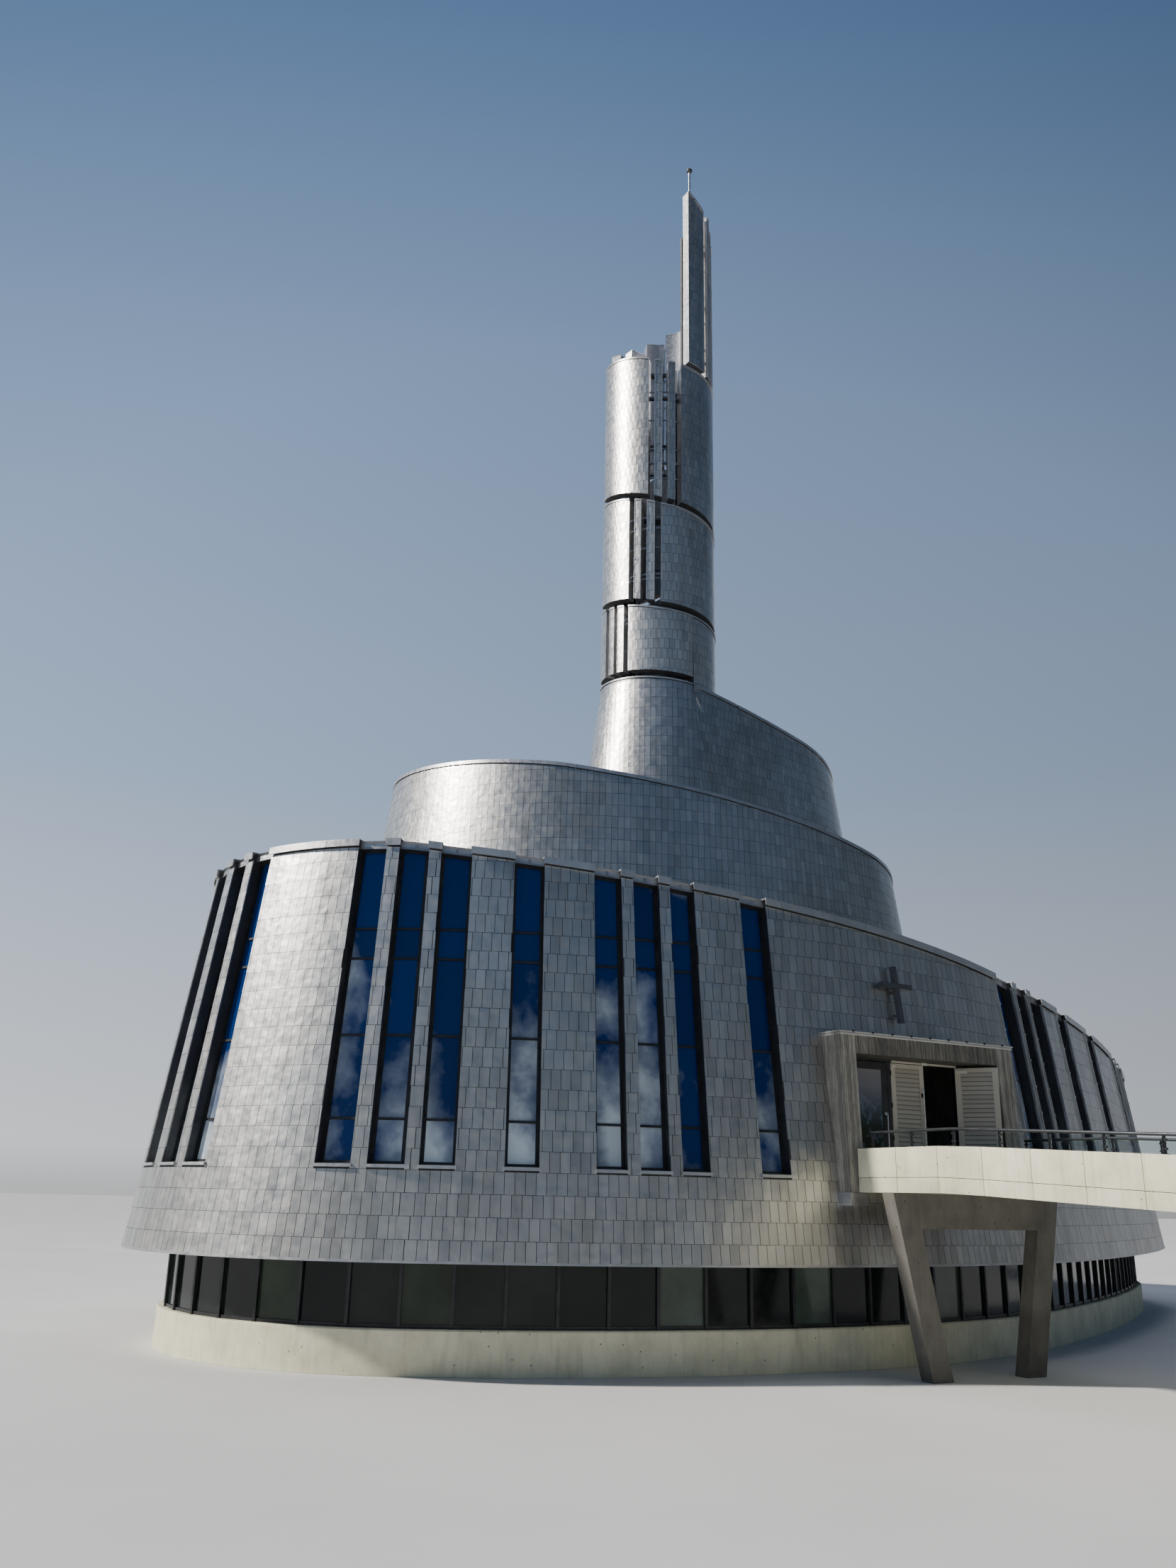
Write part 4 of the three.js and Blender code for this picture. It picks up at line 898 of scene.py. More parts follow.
def shingle(sheet, point, corners):
    """One shingle with its foot standing proud; corners are (place, height), foot first."""
    tone = min(1.0, max(0.0, random.gauss(0.5, TONE_SPREAD)))
    depths = (FOOT_DEPTH, FOOT_DEPTH, HEAD_DEPTH, HEAD_DEPTH)
    out = [point(p, z, d + random.uniform(-UNEVEN, UNEVEN)) for (p, z), d in zip(corners, depths)]
    back = [point(p, z, BACKING) for p, z in corners]
    sheet.face(out, CLADDING, tone)
    for i, j in ((1, 0), (0, 3), (2, 1)):
        sheet.face([out[i], out[j], back[j], back[i]], CLADDING, tone)


def whole_shingle(a, b, low, high):
    yield a, b, a, b, low, high


def beside_slots(slots, a, b, low, high):
    """What windows leave of a shingle."""
    parts = [(a, b)]
    if high > SILL + 0.1:
        for start, end in slots:
            parts = [
                piece
                for p, q in parts
                for piece in ([(p, q)] if end <= p or start >= q else [(p, start), (end, q)])
                if piece[1] - piece[0] > 0.05
            ]
    for p, q in parts:
        yield p, q, p, q, low, high


@lru_cache(maxsize=None)
def portal_edge(u, z, depth=0.0):
    """The heading at which a face of the wall meets one side of the portal at a height."""
    low, high = window_heading(PORTAL_WALL[0]), window_heading(PORTAL_WALL[1])
    for _ in range(BISECTIONS):
        middle = (low + high) / 2
        low, high = (middle, high) if portal_place(middle, z, depth)[0] < u else (low, middle)
    return low


def wall_before(u, z):
    """How far forward of the portal's front plane the wall's face is at one side of the portal."""
    return portal_place(portal_edge(u, z), z)[1]


def beside_portal(a, b, low, high):
    """What the portal leaves of a shingle."""
    levels = [low, *[z for z in (PORTAL_FOOT, PORTAL_TOP) if low < z < high], high]
    for z0, z1 in zip(levels, levels[1:]):
        if z1 <= PORTAL_FOOT or z0 >= PORTAL_TOP:
            yield a, b, a, b, z0, z1
            continue
        left = [portal_edge(0.0, z) for z in (z0, z1)]
        right = [portal_edge(PORTAL_WIDTH, z) for z in (z0, z1)]
        if a < max(left):
            yield a, max(a, min(b, left[0])), a, max(a, min(b, left[1])), z0, z1
        if b > min(right):
            yield min(b, max(a, right[0])), b, min(b, max(a, right[1])), b, z0, z1


def lay_courses(point, places, foot, top, sheet_at, parts=whole_shingle):
    """Shingles in level courses over a stretch of wall, every other course half a shingle on."""
    tops = np.array([value(top, p) for p in places])
    feet = np.array([value(foot, p) for p in places])
    for n, (low, high) in enumerate(zip(COURSES, COURSES[1:])):
        high -= COURSE_GAP
        if tops.max() < low or feet.min() > high:
            continue
        middle = (low + high) / 2
        line = np.array([point(p, middle, 0)[:2] for p in places])
        lengths = np.concatenate(([0], np.cumsum(np.hypot(*np.diff(line, axis=0).T))))
        first = SHINGLE_WIDTH * (0.5 if n % 2 else 1.0)
        last = lengths[-1]
        joints = [0, *np.arange(first, last - SHINGLE_WIDTH * LAST_SHINGLE, SHINGLE_WIDTH), last]
        lefts = np.interp(np.array(joints[:-1]) + JOINT, lengths, places)
        rights = np.interp(np.array(joints[1:]) - JOINT, lengths, places)
        middles = (lefts + rights) / 2
        there = np.interp(middles, places, tops) > low - 0.1
        there &= np.interp(middles, places, feet) < high + 0.1
        for left, right in zip(lefts[there], rights[there]):
            a, b = float(left), float(right)
            for a0, b0, a1, b1, z0, z1 in parts(a, b, low, high):
                feet_here = [min(z1, max(z0, value(foot, p))) for p in (a0, b0)]
                tops_here = [max(z, min(z1, value(top, p))) for z, p in zip(feet_here, (a1, b1))]
                if max(tops_here[0] - feet_here[0], tops_here[1] - feet_here[1]) < LEAST_HEIGHT:
                    continue
                corners = [(a0, feet_here[0]), (b0, feet_here[1]), (b1, tops_here[1]), (a1, tops_here[0])]
                shingle(sheet_at((a + b) / 2), point, corners)


def under_coping(height):
    return lambda h: top_at(h) - height - SHADOW_LINE


# Tiers and lower walls


def slot_headings(node):
    return [(window_heading(s), window_heading(s + w)) for s, w in WINDOWS.get(node, [])]


def sheets_for(pieces):
    """A sheet for each (name, start, end), and a function that gives the one at a heading."""
    sheets = {name: Sheet() for name, _, _ in pieces}
    starts = [(start if i else -math.inf, name) for i, (name, start, _) in enumerate(pieces)]
    return sheets, lambda h: sheets[[name for start, name in starts if h >= start][-1]]


def build_tiers():
    pieces = [
        ("upper_wall_right", TOWER_END, 110), ("upper_wall_back", 110.05, 270),
        ("middle_wall_left", 270.03, 360), ("middle_wall_front", 360.03, 404),
        ("middle_wall_right", 404.02, 480), ("middle_wall_back", 480.03, LOWER_START - 0.03),
    ]
    sheets, sheet_at = sheets_for(pieces)
    lay_courses(wall_point, stations(TOWER_END, LOWER_START), roof_foot, under_coping(COPING), sheet_at)
    for name, start, end in pieces:
        wall_shell(sheets[name], start, end, roof_foot, top_at)
        coping(sheets[name], start, end, top_at, COPING, COPING_OUT)
        skin(name, sheets[name])


def stepped_coping(sheet, start, end, slots):
    """The coping steps up and out between the windows, and down and back over them."""
    edges = [start, *[h for slot in slots for h in slot], end]
    for i, (a, b) in enumerate(zip(edges, edges[1:])):
        if i % 2:
            coping(sheet, a, b, lambda h: top_at(h) - STRIP_RISE, COPING - STRIP_RISE, -BAY_SETBACK)
            continue
        lap = turn_of(LAP, a)
        a, b = (a - lap if i else a), (b + lap if i < len(edges) - 2 else b)
        coping(sheet, a, b, lambda h: top_at(h) + STRIP_RISE, COPING + STRIP_RISE, COPING_OUT * 2)


def window_trims(sheet, slots, edged):
    """A metal sill to each window and, where edged, bright folded edges with clips down both its sides."""
    for slot in slots:
        for h, side in zip(slot, (-1, 1)):
            if not edged:
                continue
            width = turn_of(TRIM, h)
            start, end = sorted((h, h + side * width))
            low, high = SILL - SILL_DEEP, top_at(h) - COPING
            bar(sheet, start, end, low, high, -0.03, BACKING, EDGE, 0.9)
            for z in np.arange(low + 0.5, high, CLIP_SPACING):
                bar(sheet, start - width * 0.4, end + width * 0.4, z, z + CLIP, -0.045, 0.0, EDGE, 1.0)
        front, back = -SILL_OUT, WINDOW_PLANE[0]
        sill = [(front, -SILL_DEEP), (front, 0.012), (back, 0.03), (back, -SILL_DEEP)]
        lap = turn_of(LAP, slot[0])
        sweep(sheet, stations(slot[0] - lap, slot[1] + lap), sill, SILL, EDGE, 0.9)


def portal_shell(sheet, start, end):
    """The wall behind the shingles round the portal."""
    hs = stations(start, end)
    for depth, material in ((BACKING, SHADOW), (WALL, INSIDE)):
        panel(sheet, hs, SKIRT_BOTTOM, PORTAL_FOOT, depth, material)
        panel(sheet, hs, PORTAL_TOP, top_at, depth, material)
        for u, limit in ((0.0, start), (PORTAL_WIDTH, end)):
            rows = []
            for z in np.linspace(PORTAL_FOOT, PORTAL_TOP, PORTAL_STEPS + 1).tolist():
                edge = portal_edge(u, z, depth)
                parts = [k / PORTAL_STEPS for k in range(PORTAL_STEPS + 1)]
                rows.append([wall_point(mix(limit, edge, part), z, depth) for part in parts])
            sheet.grid(rows, material)
    shelf(sheet, hs, top_at, BACKING, WALL, EDGE)
    shelf(sheet, hs, SKIRT_BOTTOM, BACKING, WALL, INSIDE)


def build_lower_walls():
    portal = [window_heading(m) for m in PORTAL_WALL]
    pieces = [
        ("side_wall_end", LOWER_START, SIDE_SPLIT), ("side_wall", SIDE_SPLIT + 0.03, LOWER_LEFT),
        ("left_wall", LOWER_LEFT + 0.03, LEFT_END), ("front_wall", LEFT_END + 0.03, portal[0]),
        ("portal_wall", portal[0] + 0.01, portal[1]), ("right_wall", portal[1] + 0.01, RIGHT_END),
        ("back_wall", RIGHT_END + 0.02, WALL_END),
    ]
    sheets, sheet_at = sheets_for(pieces)
    slots = {name: slot_headings(name) for name, _, _ in pieces}

    def parts(a, b, low, high):
        if b > portal[0] and a < portal[1]:
            yield from beside_portal(a, b, low, high)
        else:
            near = [s for name in slots for s in slots[name] if s[1] > a and s[0] < b]
            yield from beside_slots(near, a, b, low, high)

    places = stations(LOWER_START, WALL_END)
    lay_courses(wall_point, places, SKIRT_BOTTOM, under_coping(COPING), sheet_at, parts)
    for name, start, end in pieces:
        sheet = sheets[name]
        stepped_coping(sheet, start, end, slots[name])
        foot_trim = [(-SHEET, 0.0), (-SHEET, FOOT_TRIM), (BACKING, FOOT_TRIM), (BACKING, 0.0)]
        sweep(sheet, stations(start, end), foot_trim, SKIRT_BOTTOM, EDGE, 0.5)
        if name == "portal_wall":
            portal_shell(sheet, start, end)
        else:
            below = SIDE_HEAD if name == "side_wall" else HEAD
            wall_shell(sheet, start, end, SKIRT_BOTTOM, top_at, slots[name], below)
        window_trims(sheet, slots[name], name == "right_wall")
        skin(name, sheet)


def build_end_wall():
    nx, ny = outward(WALL_END)
    normal = (-ny, nx)

    def point(t, z, depth=0.0):
        x0, y0, _ = wall_point(WALL_END, z)
        x1, y1, _ = wall_point(LOWER_START, z, -0.002)
        shift = WALL - depth
        return mix(x0, x1, t) + normal[0] * shift, mix(y0, y1, t) + normal[1] * shift, z

    top = top_at(WALL_END)
    sheet = Sheet()
    places = [i / END_STEPS for i in range(END_STEPS + 1)]
    lay_courses(point, places, SKIRT_BOTTOM, top - COPING - SHADOW_LINE, lambda _: sheet)
    for near, low, high, material, tone in (
        (BACKING, SKIRT_BOTTOM, top, SHADOW, 0.5), (-COPING_OUT, top - COPING, top + SHEET, EDGE, 0.6),
    ):
        block(sheet, lambda t, d, z: point(t, z, d), (0, 1), (near, WALL), (low, high), material, tone)
    skin("end_wall", sheet)


# Windows


def build_windows():
    for glass_node, walls in GLASS_OF.items():
        frames, panes = Sheet(), Sheet()
        for wall in walls:
            for slot in slot_headings(wall):
                add_window(frames, panes, slot)
        make(glass_node.replace("glass", "frames"), frames, [DARK_FRAME])
        make(glass_node + "_panes", panes, [WINDOW_GLASS], [glass_node])


def add_window(frames, panes, slot):
    """One window: stiles, sill and head bars, level bars between its lights, and a pane in each."""
    a, b = slot
    width = turn_of(WINDOW_BAR, a)
    slim = turn_of(BEAD, a)
    near, far = WINDOW_PLANE

    def head(h):
        return top_at(h) - HEAD_TOP

    def below_head(h):
        return head(h) - WINDOW_BAR

    for start in (a, b - width):
        bar(frames, start, start + width, SILL, head, near, far)
    levels = [SILL + up for up in (0.03, *LIGHT_HEIGHTS) if SILL + up < min(head(a), head(b)) - 0.4]
    for z in levels:
        bar(frames, a + width, b - width, z, z + WINDOW_BAR, near, far)
    bar(frames, a + width, b - width, below_head, head, near, far)
    for low, high in zip(levels, [*levels[1:], below_head]):
        tilt = random.uniform(-0.003, 0.003)
        foot = low + WINDOW_BAR
        left, right = (a + width, tilt), (b - width, -tilt)
        front, back = PANE_PLANE
        corners = [(h, front + t) for h, t in (left, right)] + [(h, back + t) for h, t in (right, left)]
        quads = [[wall_point(h, value(z, h), d) for h, d in corners] for z in (foot, high)]
        panes.hexahedron(*quads, 0, random.random())
        for start in (a + width, b - width - slim):
            bar(frames, start, start + slim, foot, high, near + 0.02, near + 0.04)


# Tower


def tower_piece(sheet, start, end, foot, top):
    """A stretch of the tower's wall with shingles outside and plain metal inside."""
    hs = stations(start, end)
    panel(sheet, hs, foot, top, BACKING, SHADOW)
    panel(sheet, hs, foot, top, WALL, RECESS, 0.8)
    shelf(sheet, hs, top, BACKING, WALL, EDGE)
    shelf(sheet, hs, foot, BACKING, WALL, SHADOW)
    for h in (start, end):
        cheek(sheet, h, value(foot, h), value(top, h), BACKING, WALL, EDGE, 0.8)
    drop = TOWER_COPING + 0.015
    lay_courses(wall_point, hs, foot, lambda h: value(top, h) - drop, lambda _: sheet)
    out, back = -TOWER_COPING_OUT, WALL + 0.01
    profile = [
        (out, -TOWER_COPING), (out, SHEET), (back, SHEET), (back, -0.03), (BACKING, -0.03),
        (BACKING, -TOWER_COPING),
    ]
    sweep(sheet, hs, profile, top, EDGE, 0.7)


def upright_edges(sheet, start, end, top):
    """Bright folded edges with clips down both sides of a fin."""
    width = turn_of(FIN_TRIM, start)
    for h, side in ((start, 1), (end, -1)):
        a, b = sorted((h, h + side * width))
        low, high = gap_foot(h), value(top, h)
        levels = [low, *([BATTER_TOP] if low < BATTER_TOP < high else []), high - 0.02]
        for z0, z1 in zip(levels, levels[1:]):
            bar(sheet, a, b, z0, z1, -0.006, BACKING, EDGE, 1.0)
        for z in np.arange(low + 0.35, high - 0.1, CLIP_SPACING):
            bar(sheet, a - width * 0.3, b + width * 0.3, z, z + FIN_CLIP, -0.02, 0.0, EDGE, 1.0)


def upright(sheet, start, end, top):
    """A fin or a panel that stands by itself."""
    tower_piece(sheet, start, end, gap_foot, top)
    upright_edges(sheet, start, end, top)


def tie(sheet, start, end, z, shape):
    depth, thickness, height = shape
    profile = [(depth, 0), (depth, height), (depth + thickness, height), (depth + thickness, 0)]
    sweep(sheet, stations(start, end), profile, z, RECESS, 0.5)


def add_fins(name, fins, ties, tube=None):
    """A piece of uprights (start, end, top) with level ties (start, end, height, shape) behind them."""
    sheet = Sheet()
    for start, end, top in fins:
        upright(sheet, start, end, top)
    for start, end, z, shape in ties:
        tie(sheet, start, end, z, shape)
    if tube:
        profile = [(CROWN_TUBE_DEPTH + back, up) for back, up in circle(CROWN_TUBE_RADIUS, 10)]
        sweep(sheet, stations(fins[0][0], fins[-1][1]), profile, tube, EDGE, 0.9)
    skin(name, sheet)


def build_tower():
    from_panel, to_panel, high, low = SPIRE_PANEL
    crown_from, _, crown_top = CROWN_PANELS[0]

    def spire_top(h):
        return mix(high, low, (h - from_panel) / (to_panel - from_panel))

    def tube_height(h):
        return mix(*CROWN_TUBE, (h - crown_from) / (CROWN_START - crown_from))

    add_fins("spire_panel", [(from_panel, to_panel, spire_top)], [])
    ties = [(to_panel, crown_from if z < crown_top else SPIRE_END, z, TIE) for z in SPIRE_TIES]
    ties += [(to_panel, SPIRE_END, z, BRACE) for z in np.arange(*SPIRE_BRACES, BRACE_SPACING)]
    add_fins("spire_fins", SPIRE_FINS, ties)
    ties = [(crown_from, CROWN_START, z, TIE) for z in CROWN_TIES]
    add_fins("tower_crown", CROWN_PANELS, ties, tube_height)

    starts = [CROWN_START, *[slots[-1][1] for slots in SLOTS.values()]]
    ends = [*[slots[0][0] for slots in SLOTS.values()], TOWER_BASE[0] - 0.05]
    for level, start, end in zip(("top", "upper", "middle", "lower"), starts, ends):
        sheet = Sheet()
        tower_piece(sheet, start, end, gap_foot, top_at)
        skin("tower_band_" + level, sheet)

    for name, slots in SLOTS.items():
        first, last = slots[0][0], slots[-1][1]
        foot, top = gap_foot(first), top_at(last)
        fins = [(a, b, top_at) for (_, a), (b, _) in zip(slots, slots[1:])]
        ties = [(first, last, z, BRACE) for z in np.arange(foot + 0.8, top - 0.3, BRACE_SPACING)]
        ties += [(first, last, mix(foot, top, part), TIE) for part in SLOT_TIES]
        add_fins(name, fins, ties)

    sheet = Sheet()
    start, end = TOWER_BASE
    wall_shell(sheet, start, end, roof_foot, top_at)
    coping(sheet, start, end, top_at, TOWER_COPING, TOWER_COPING_OUT)
    places = stations(start, end)
    lay_courses(wall_point, places, roof_foot, under_coping(TOWER_COPING), lambda _: sheet)
    skin("tower_base", sheet)


def round_bar(sheet, x, y, stops, sides=16, material=0):
    """A turned body along Z through stops, each a height and a radius."""
    rings = [[(x + a, y + b, z) for a, b in circle(radius, sides)] for z, radius in stops]
    sheet.loft(rings, material)


def build_finial():
    nx, ny = outward(FINIAL_HEADING)
    r = ARCS[0][0] - WALL / 2
    radius, top = ROD
    foot = mix(SPIRE_PANEL[2], SPIRE_PANEL[3], 0.25) - 0.03
    rod, ball = Sheet(), Sheet()
    stops = [(foot, ROD_FOOT), (foot + 0.07, ROD_FOOT), (foot + 0.09, radius), (top, radius)]
    round_bar(rod, nx * r, ny * r, stops)
    stops = []
    for i in range(BALL_STEPS + 1):
        angle = math.pi * i / BALL_STEPS
        stops.append((top + BALL - 0.01 - BALL * math.cos(angle), max(0.002, BALL * math.sin(angle))))
    round_bar(ball, nx * r, ny * r, stops)
    make("finial_rod", rod, [TRIM_METAL], ["finial"])
    make("finial_ball", ball, [STEEL])


# Roofs


def build_roofs():
    """Ramps between one turn of the wall and the next, in standing-seam metal."""
    for i, name in enumerate(("upper_roof", "middle_roof", "lower_roof", "back_roof")):
        start, end = ROOF_SPLITS[i] + (0.03 if i else 0), ROOF_SPLITS[i + 1]
        sheet = Sheet()

        def across(h, lift, t):
            inner = wall_point(h - 360, roof_at(h), -0.003)
            outer = wall_point(h, roof_at(h), WALL + 0.003)
            return mix(inner[0], outer[0], t), mix(inner[1], outer[1], t), roof_at(h) + lift

        hs = stations(start, end)
        steps = [k / 4 for k in range(5)]
        sheet.grid([[across(h, 0.0, t) for t in steps] for h in hs], 0)
        sheet.grid([[across(h, -ROOF, t) for t in steps] for h in hs], 2)
        for t in (0.0, 1.0):
            sheet.grid([[across(h, 0.0, t), across(h, -ROOF, t)] for h in hs], 2)
        for h in (start, end):
            sheet.face([across(h, lift, t) for lift, t in ((0, 0), (0, 1), (-ROOF, 1), (-ROOF, 0))], 2)
        for h in stations(start, end, SEAM_SPACING)[1:-1]:
            half = turn_of(SEAM_HALF, h)
            seam = ((h - half, 0.01), (h - half, 0.99), (h + half, 0.99), (h + half, 0.01))
            quads = [[across(place, lift, t) for place, t in seam] for lift in (-0.004, SEAM_HEIGHT)]
            sheet.hexahedron(*quads, 1, random.random())
        make(name + "_skin", sheet, [ROOF_METAL, SEAM, PLASTER], [name])


# Ground storey


def ring_line(depth):
    """The line at a depth inside the skirt's lower edge, closed along the end wall."""
    line = [wall_point(h, SKIRT_BOTTOM, depth)[:2] for h in stations(LOWER_START, WALL_END)]
    return [Vector(p) for p in line + [line[0]]]


def along_line(line, spacing):
    """Even places along a line."""
    lengths = [0.0]
    for p, q in zip(line, line[1:]):
        lengths.append(lengths[-1] + (q - p).length)
    count = round(lengths[-1] / spacing)
    places = np.arange(count + 1) * lengths[-1] / count
    xs = np.interp(places, lengths, [p.x for p in line])
    ys = np.interp(places, lengths, [p.y for p in line])
    return [Vector((float(x), float(y))) for x, y in zip(xs, ys)]


def ground_block(sheet, p, q, low, high, near, far, material=0, tone=0.5):
    """A block between two plan points; near and far are measured to the line's right."""
    side = (q - p).normalized()
    right = Vector((side.y, -side.x))
    corners = [p - right * near, q - right * near, q - right * far, p - right * far]
    sheet.hexahedron(*[[(c.x, c.y, z) for c in corners] for z in (low, high)], material, tone)


def closed_ring(sheet, near, far, low, high, material=0, chamfer=0.0):
    """A wall of the ground storey all round, with a chamfered outer top edge."""
    rings = []
    for h in stations(LOWER_START, WALL_END):
        profile = [(near, low), (near, high - chamfer), (near + chamfer, high), (far, high), (far, low)]
        rings.append([(*wall_point(h, SKIRT_BOTTOM, d)[:2], z) for d, z in profile])
    sheet.loft(rings, material, 0.5, closed=True)


def build_ground_storey():
    plinth = Sheet()
    closed_ring(plinth, BAND_RECESS - LEDGE, BAND_RECESS - LEDGE + PLINTH, 0.0, LEDGE_TOP, 0, 0.03)
    make("plinth_wall_cast", plinth, [CONCRETE], ["plinth_wall"])
    ceiling = FLOOR_TOP - FLOOR
    frames, panes = Sheet(), Sheet()
    glass_line = ring_line(BAND_RECESS + BAND_SETBACK)
    posts = along_line(glass_line, BAND_PANE)
    sill, (head_foot, head_top) = LEDGE_TOP + BAND_FOOT, (ceiling - drop for drop in BAND_HEAD)
    for p, q in zip(posts, posts[1:]):
        half = (q - p).normalized() * BAND_BAR
        ground_block(frames, p - half, p + half, LEDGE_TOP, head_top, -0.05, 0.12)
        for low, high in ((LEDGE_TOP, sill), BAND_TRANSOM):
            ground_block(frames, p + half, q - half, low, high, -0.02, 0.07)
        for low, high in ((sill, BAND_TRANSOM[0]), (BAND_TRANSOM[1], head_foot)):
            ground_block(panes, p + half, q - half, low, high, 0.02, 0.035, 0, random.random())
        ground_block(frames, p, q, head_foot, head_top, -0.04, 0.1)
    make("ground_storey_frame_bars", frames, [DARK_FRAME], ["ground_storey_frame"])
    make("ground_glass_band_panes", panes, [BAND_GLASS], ["ground_glass_band"])
    soffit = Sheet()
    closed_ring(soffit, WALL + 0.01, BAND_RECESS + BAND_SETBACK - 0.06, ceiling - 0.06, ceiling - 0.01)
    make("ground_soffit", soffit, [PANEL])


# Portal and doors


def portal_box(sheet, us, fs, zs, material=0, tone=0.5, lean=0.0):
    """A block by the portal; with a lean of one it follows the portal's front."""

    def point(u, f, z):
        return portal_point(u, f + lean * lean_at(z), z)

    block(sheet, point, us, fs[::-1], zs, material, tone)


def board_proud():
    return BOARD_PROUD + random.uniform(-0.005, 0.004)


def board_places(start, end):
    """Narrow boards of uneven width, as (from, to)."""
    edges = [start]
    while edges[-1] < end - BOARD * 1.6:
        edges.append(edges[-1] + BOARD * random.uniform(0.7, 1.4))
    return list(zip(edges, [*edges[1:], end]))


def build_portal_boards(head):
    boards = Sheet()
    right = PORTAL_WIDTH - JAMB_RIGHT
    whole = (PORTAL_FOOT, PORTAL_TOP)
    for start, end, foot, material in (
        (0.0, JAMB_LEFT, PORTAL_FOOT, 1), (JAMB_LEFT, right, head, 0), (right, PORTAL_WIDTH, PORTAL_FOOT, 1),
    ):
        for u0, u1 in board_places(start, end):
            fs = (-BOARD_BACK, board_proud())
            zs = (foot, PORTAL_TOP)
            us = (u0 + BOARD_GAP, u1 - BOARD_GAP)
            portal_box(boards, us, fs, zs, material, random.random(), 1)
    for u, side in PORTAL_SIDES:
        reach = min(wall_before(u, PORTAL_FOOT), wall_before(u, PORTAL_TOP) - lean_at(PORTAL_TOP)) - 0.06
        for f0, f1 in board_places(reach, 0.0):
            us = sorted((u - side * BOARD_BACK, u + side * board_proud()))
            fs = (f0 + BOARD_GAP, f1 - BOARD_GAP)
            portal_box(boards, us, fs, whole, 1, random.random(), 1)
    make("portal_board_face", boards, [BOARDS, PALE_BOARDS])


def build_portal_flashing():
    flashing, clips = Sheet(), Sheet()
    front = lean_at(PORTAL_TOP)
    reaches = [wall_before(u, PORTAL_TOP) - 0.05 for u, _ in PORTAL_SIDES]
    for lift, out, height in FLASHING_FOLDS:
        zs = (PORTAL_TOP + lift, PORTAL_TOP + lift + height)
        portal_box(flashing, (-out, PORTAL_WIDTH + out), (front - 0.1, front + out), zs, 0, 0.8)
        for (u, side), reach in zip(PORTAL_SIDES, reaches):
            us = sorted((u - side * 0.1, u + side * out))
            portal_box(flashing, us, (reach, front - 0.1), zs, 0, 0.8)
    portal_box(flashing, (0.0, PORTAL_WIDTH), (min(reaches), front), (PORTAL_TOP + 0.02, PORTAL_TOP + 0.03))
    count, first, spacing = FLASHING_CLIPS
    for i in range(count):
        u = first + i * spacing
        zs = (PORTAL_TOP + 0.03, PORTAL_TOP + 0.075)
        portal_box(clips, (u, u + 0.05), (front + 0.035, front + 0.068), zs)
    make("portal_flashing", flashing, [FLASHING], bevel=0.004)
    make("portal_flashing_clips", clips, [DARK_FRAME], bevel=0.003)


def build_portal():
    head = PORTAL_TOP - HEADER
    build_portal_boards(head)
    build_portal_flashing()
    under = Sheet()
    portal_box(under, (0.02, 0.5), (-0.75, -0.04), (PORTAL_FOOT - 0.27, PORTAL_FOOT - 0.03), 0, 0.9)
    portal_box(under, (0.0, 0.52), (-0.77, -0.02), (PORTAL_FOOT - 0.03, PORTAL_FOOT - 0.004), 0, 1.0)
    make("under_portal_box", under, [COPING_METAL], bevel=0.006)
    track = Sheet()
    plane = -DOOR_SETBACK
    both_leaves = (DOOR_CENTRE - LEAF[0], DOOR_CENTRE + LEAF[0])
    portal_box(track, both_leaves, (plane, plane + 0.045), (head - 0.056, head - 0.012), 0, 1.0)
    holder = (DOOR_CENTRE - 0.1, DOOR_CENTRE + 0.06)
    portal_box(track, holder, (plane + 0.04, plane + 0.075), (head - 0.07, head - 0.006), 1)
    make("door_closer_track", track, [DOOR_PAINT, PALE_PLASTIC], bevel=0.004)


class Leaf:
    """A door leaf in its own frame: X along the leaf from the hinge, Y into the building, Z up."""

    def __init__(self, hinge, side, opened=0.0):
        self.origin = portal_point(hinge, -DOOR_SETBACK + LEAF_PROUD, 0.0)
        self.side = side
        self.angle = PORTAL_TURN - side * math.radians(opened)

    def point(self, x, y, z):
        x *= self.side
        cos, sin = math.cos(self.angle), math.sin(self.angle)
        return self.origin[0] + cos * x - sin * y, self.origin[1] + sin * x + cos * y, z

    def block(self, sheet, xs, ys, zs, material=0, tone=0.5):
        block(sheet, self.point, xs, ys, zs, material, tone)

    def upright_bar(self, sheet, x, y, low, high, radius, material=0, sides=16):
        ease = radius * 0.3
        stops = [(low, radius - ease), (low + ease, radius), (high - ease, radius), (high, radius - ease)]
        round_bar(sheet, *self.point(x, y, 0)[:2], stops, sides, material)

    def pull_bar(self, x, shape, material=0):
        bar_ends, radius, holders, blocks = shape
        sheet = Sheet()
        self.upright_bar(sheet, x, PULL_OUT, *bar_ends, radius)
        for z in holders:
            for half, reach, rise in blocks:
                self.block(sheet, around(x, half), (-reach, 0.001), around(z, rise), material)
        return sheet


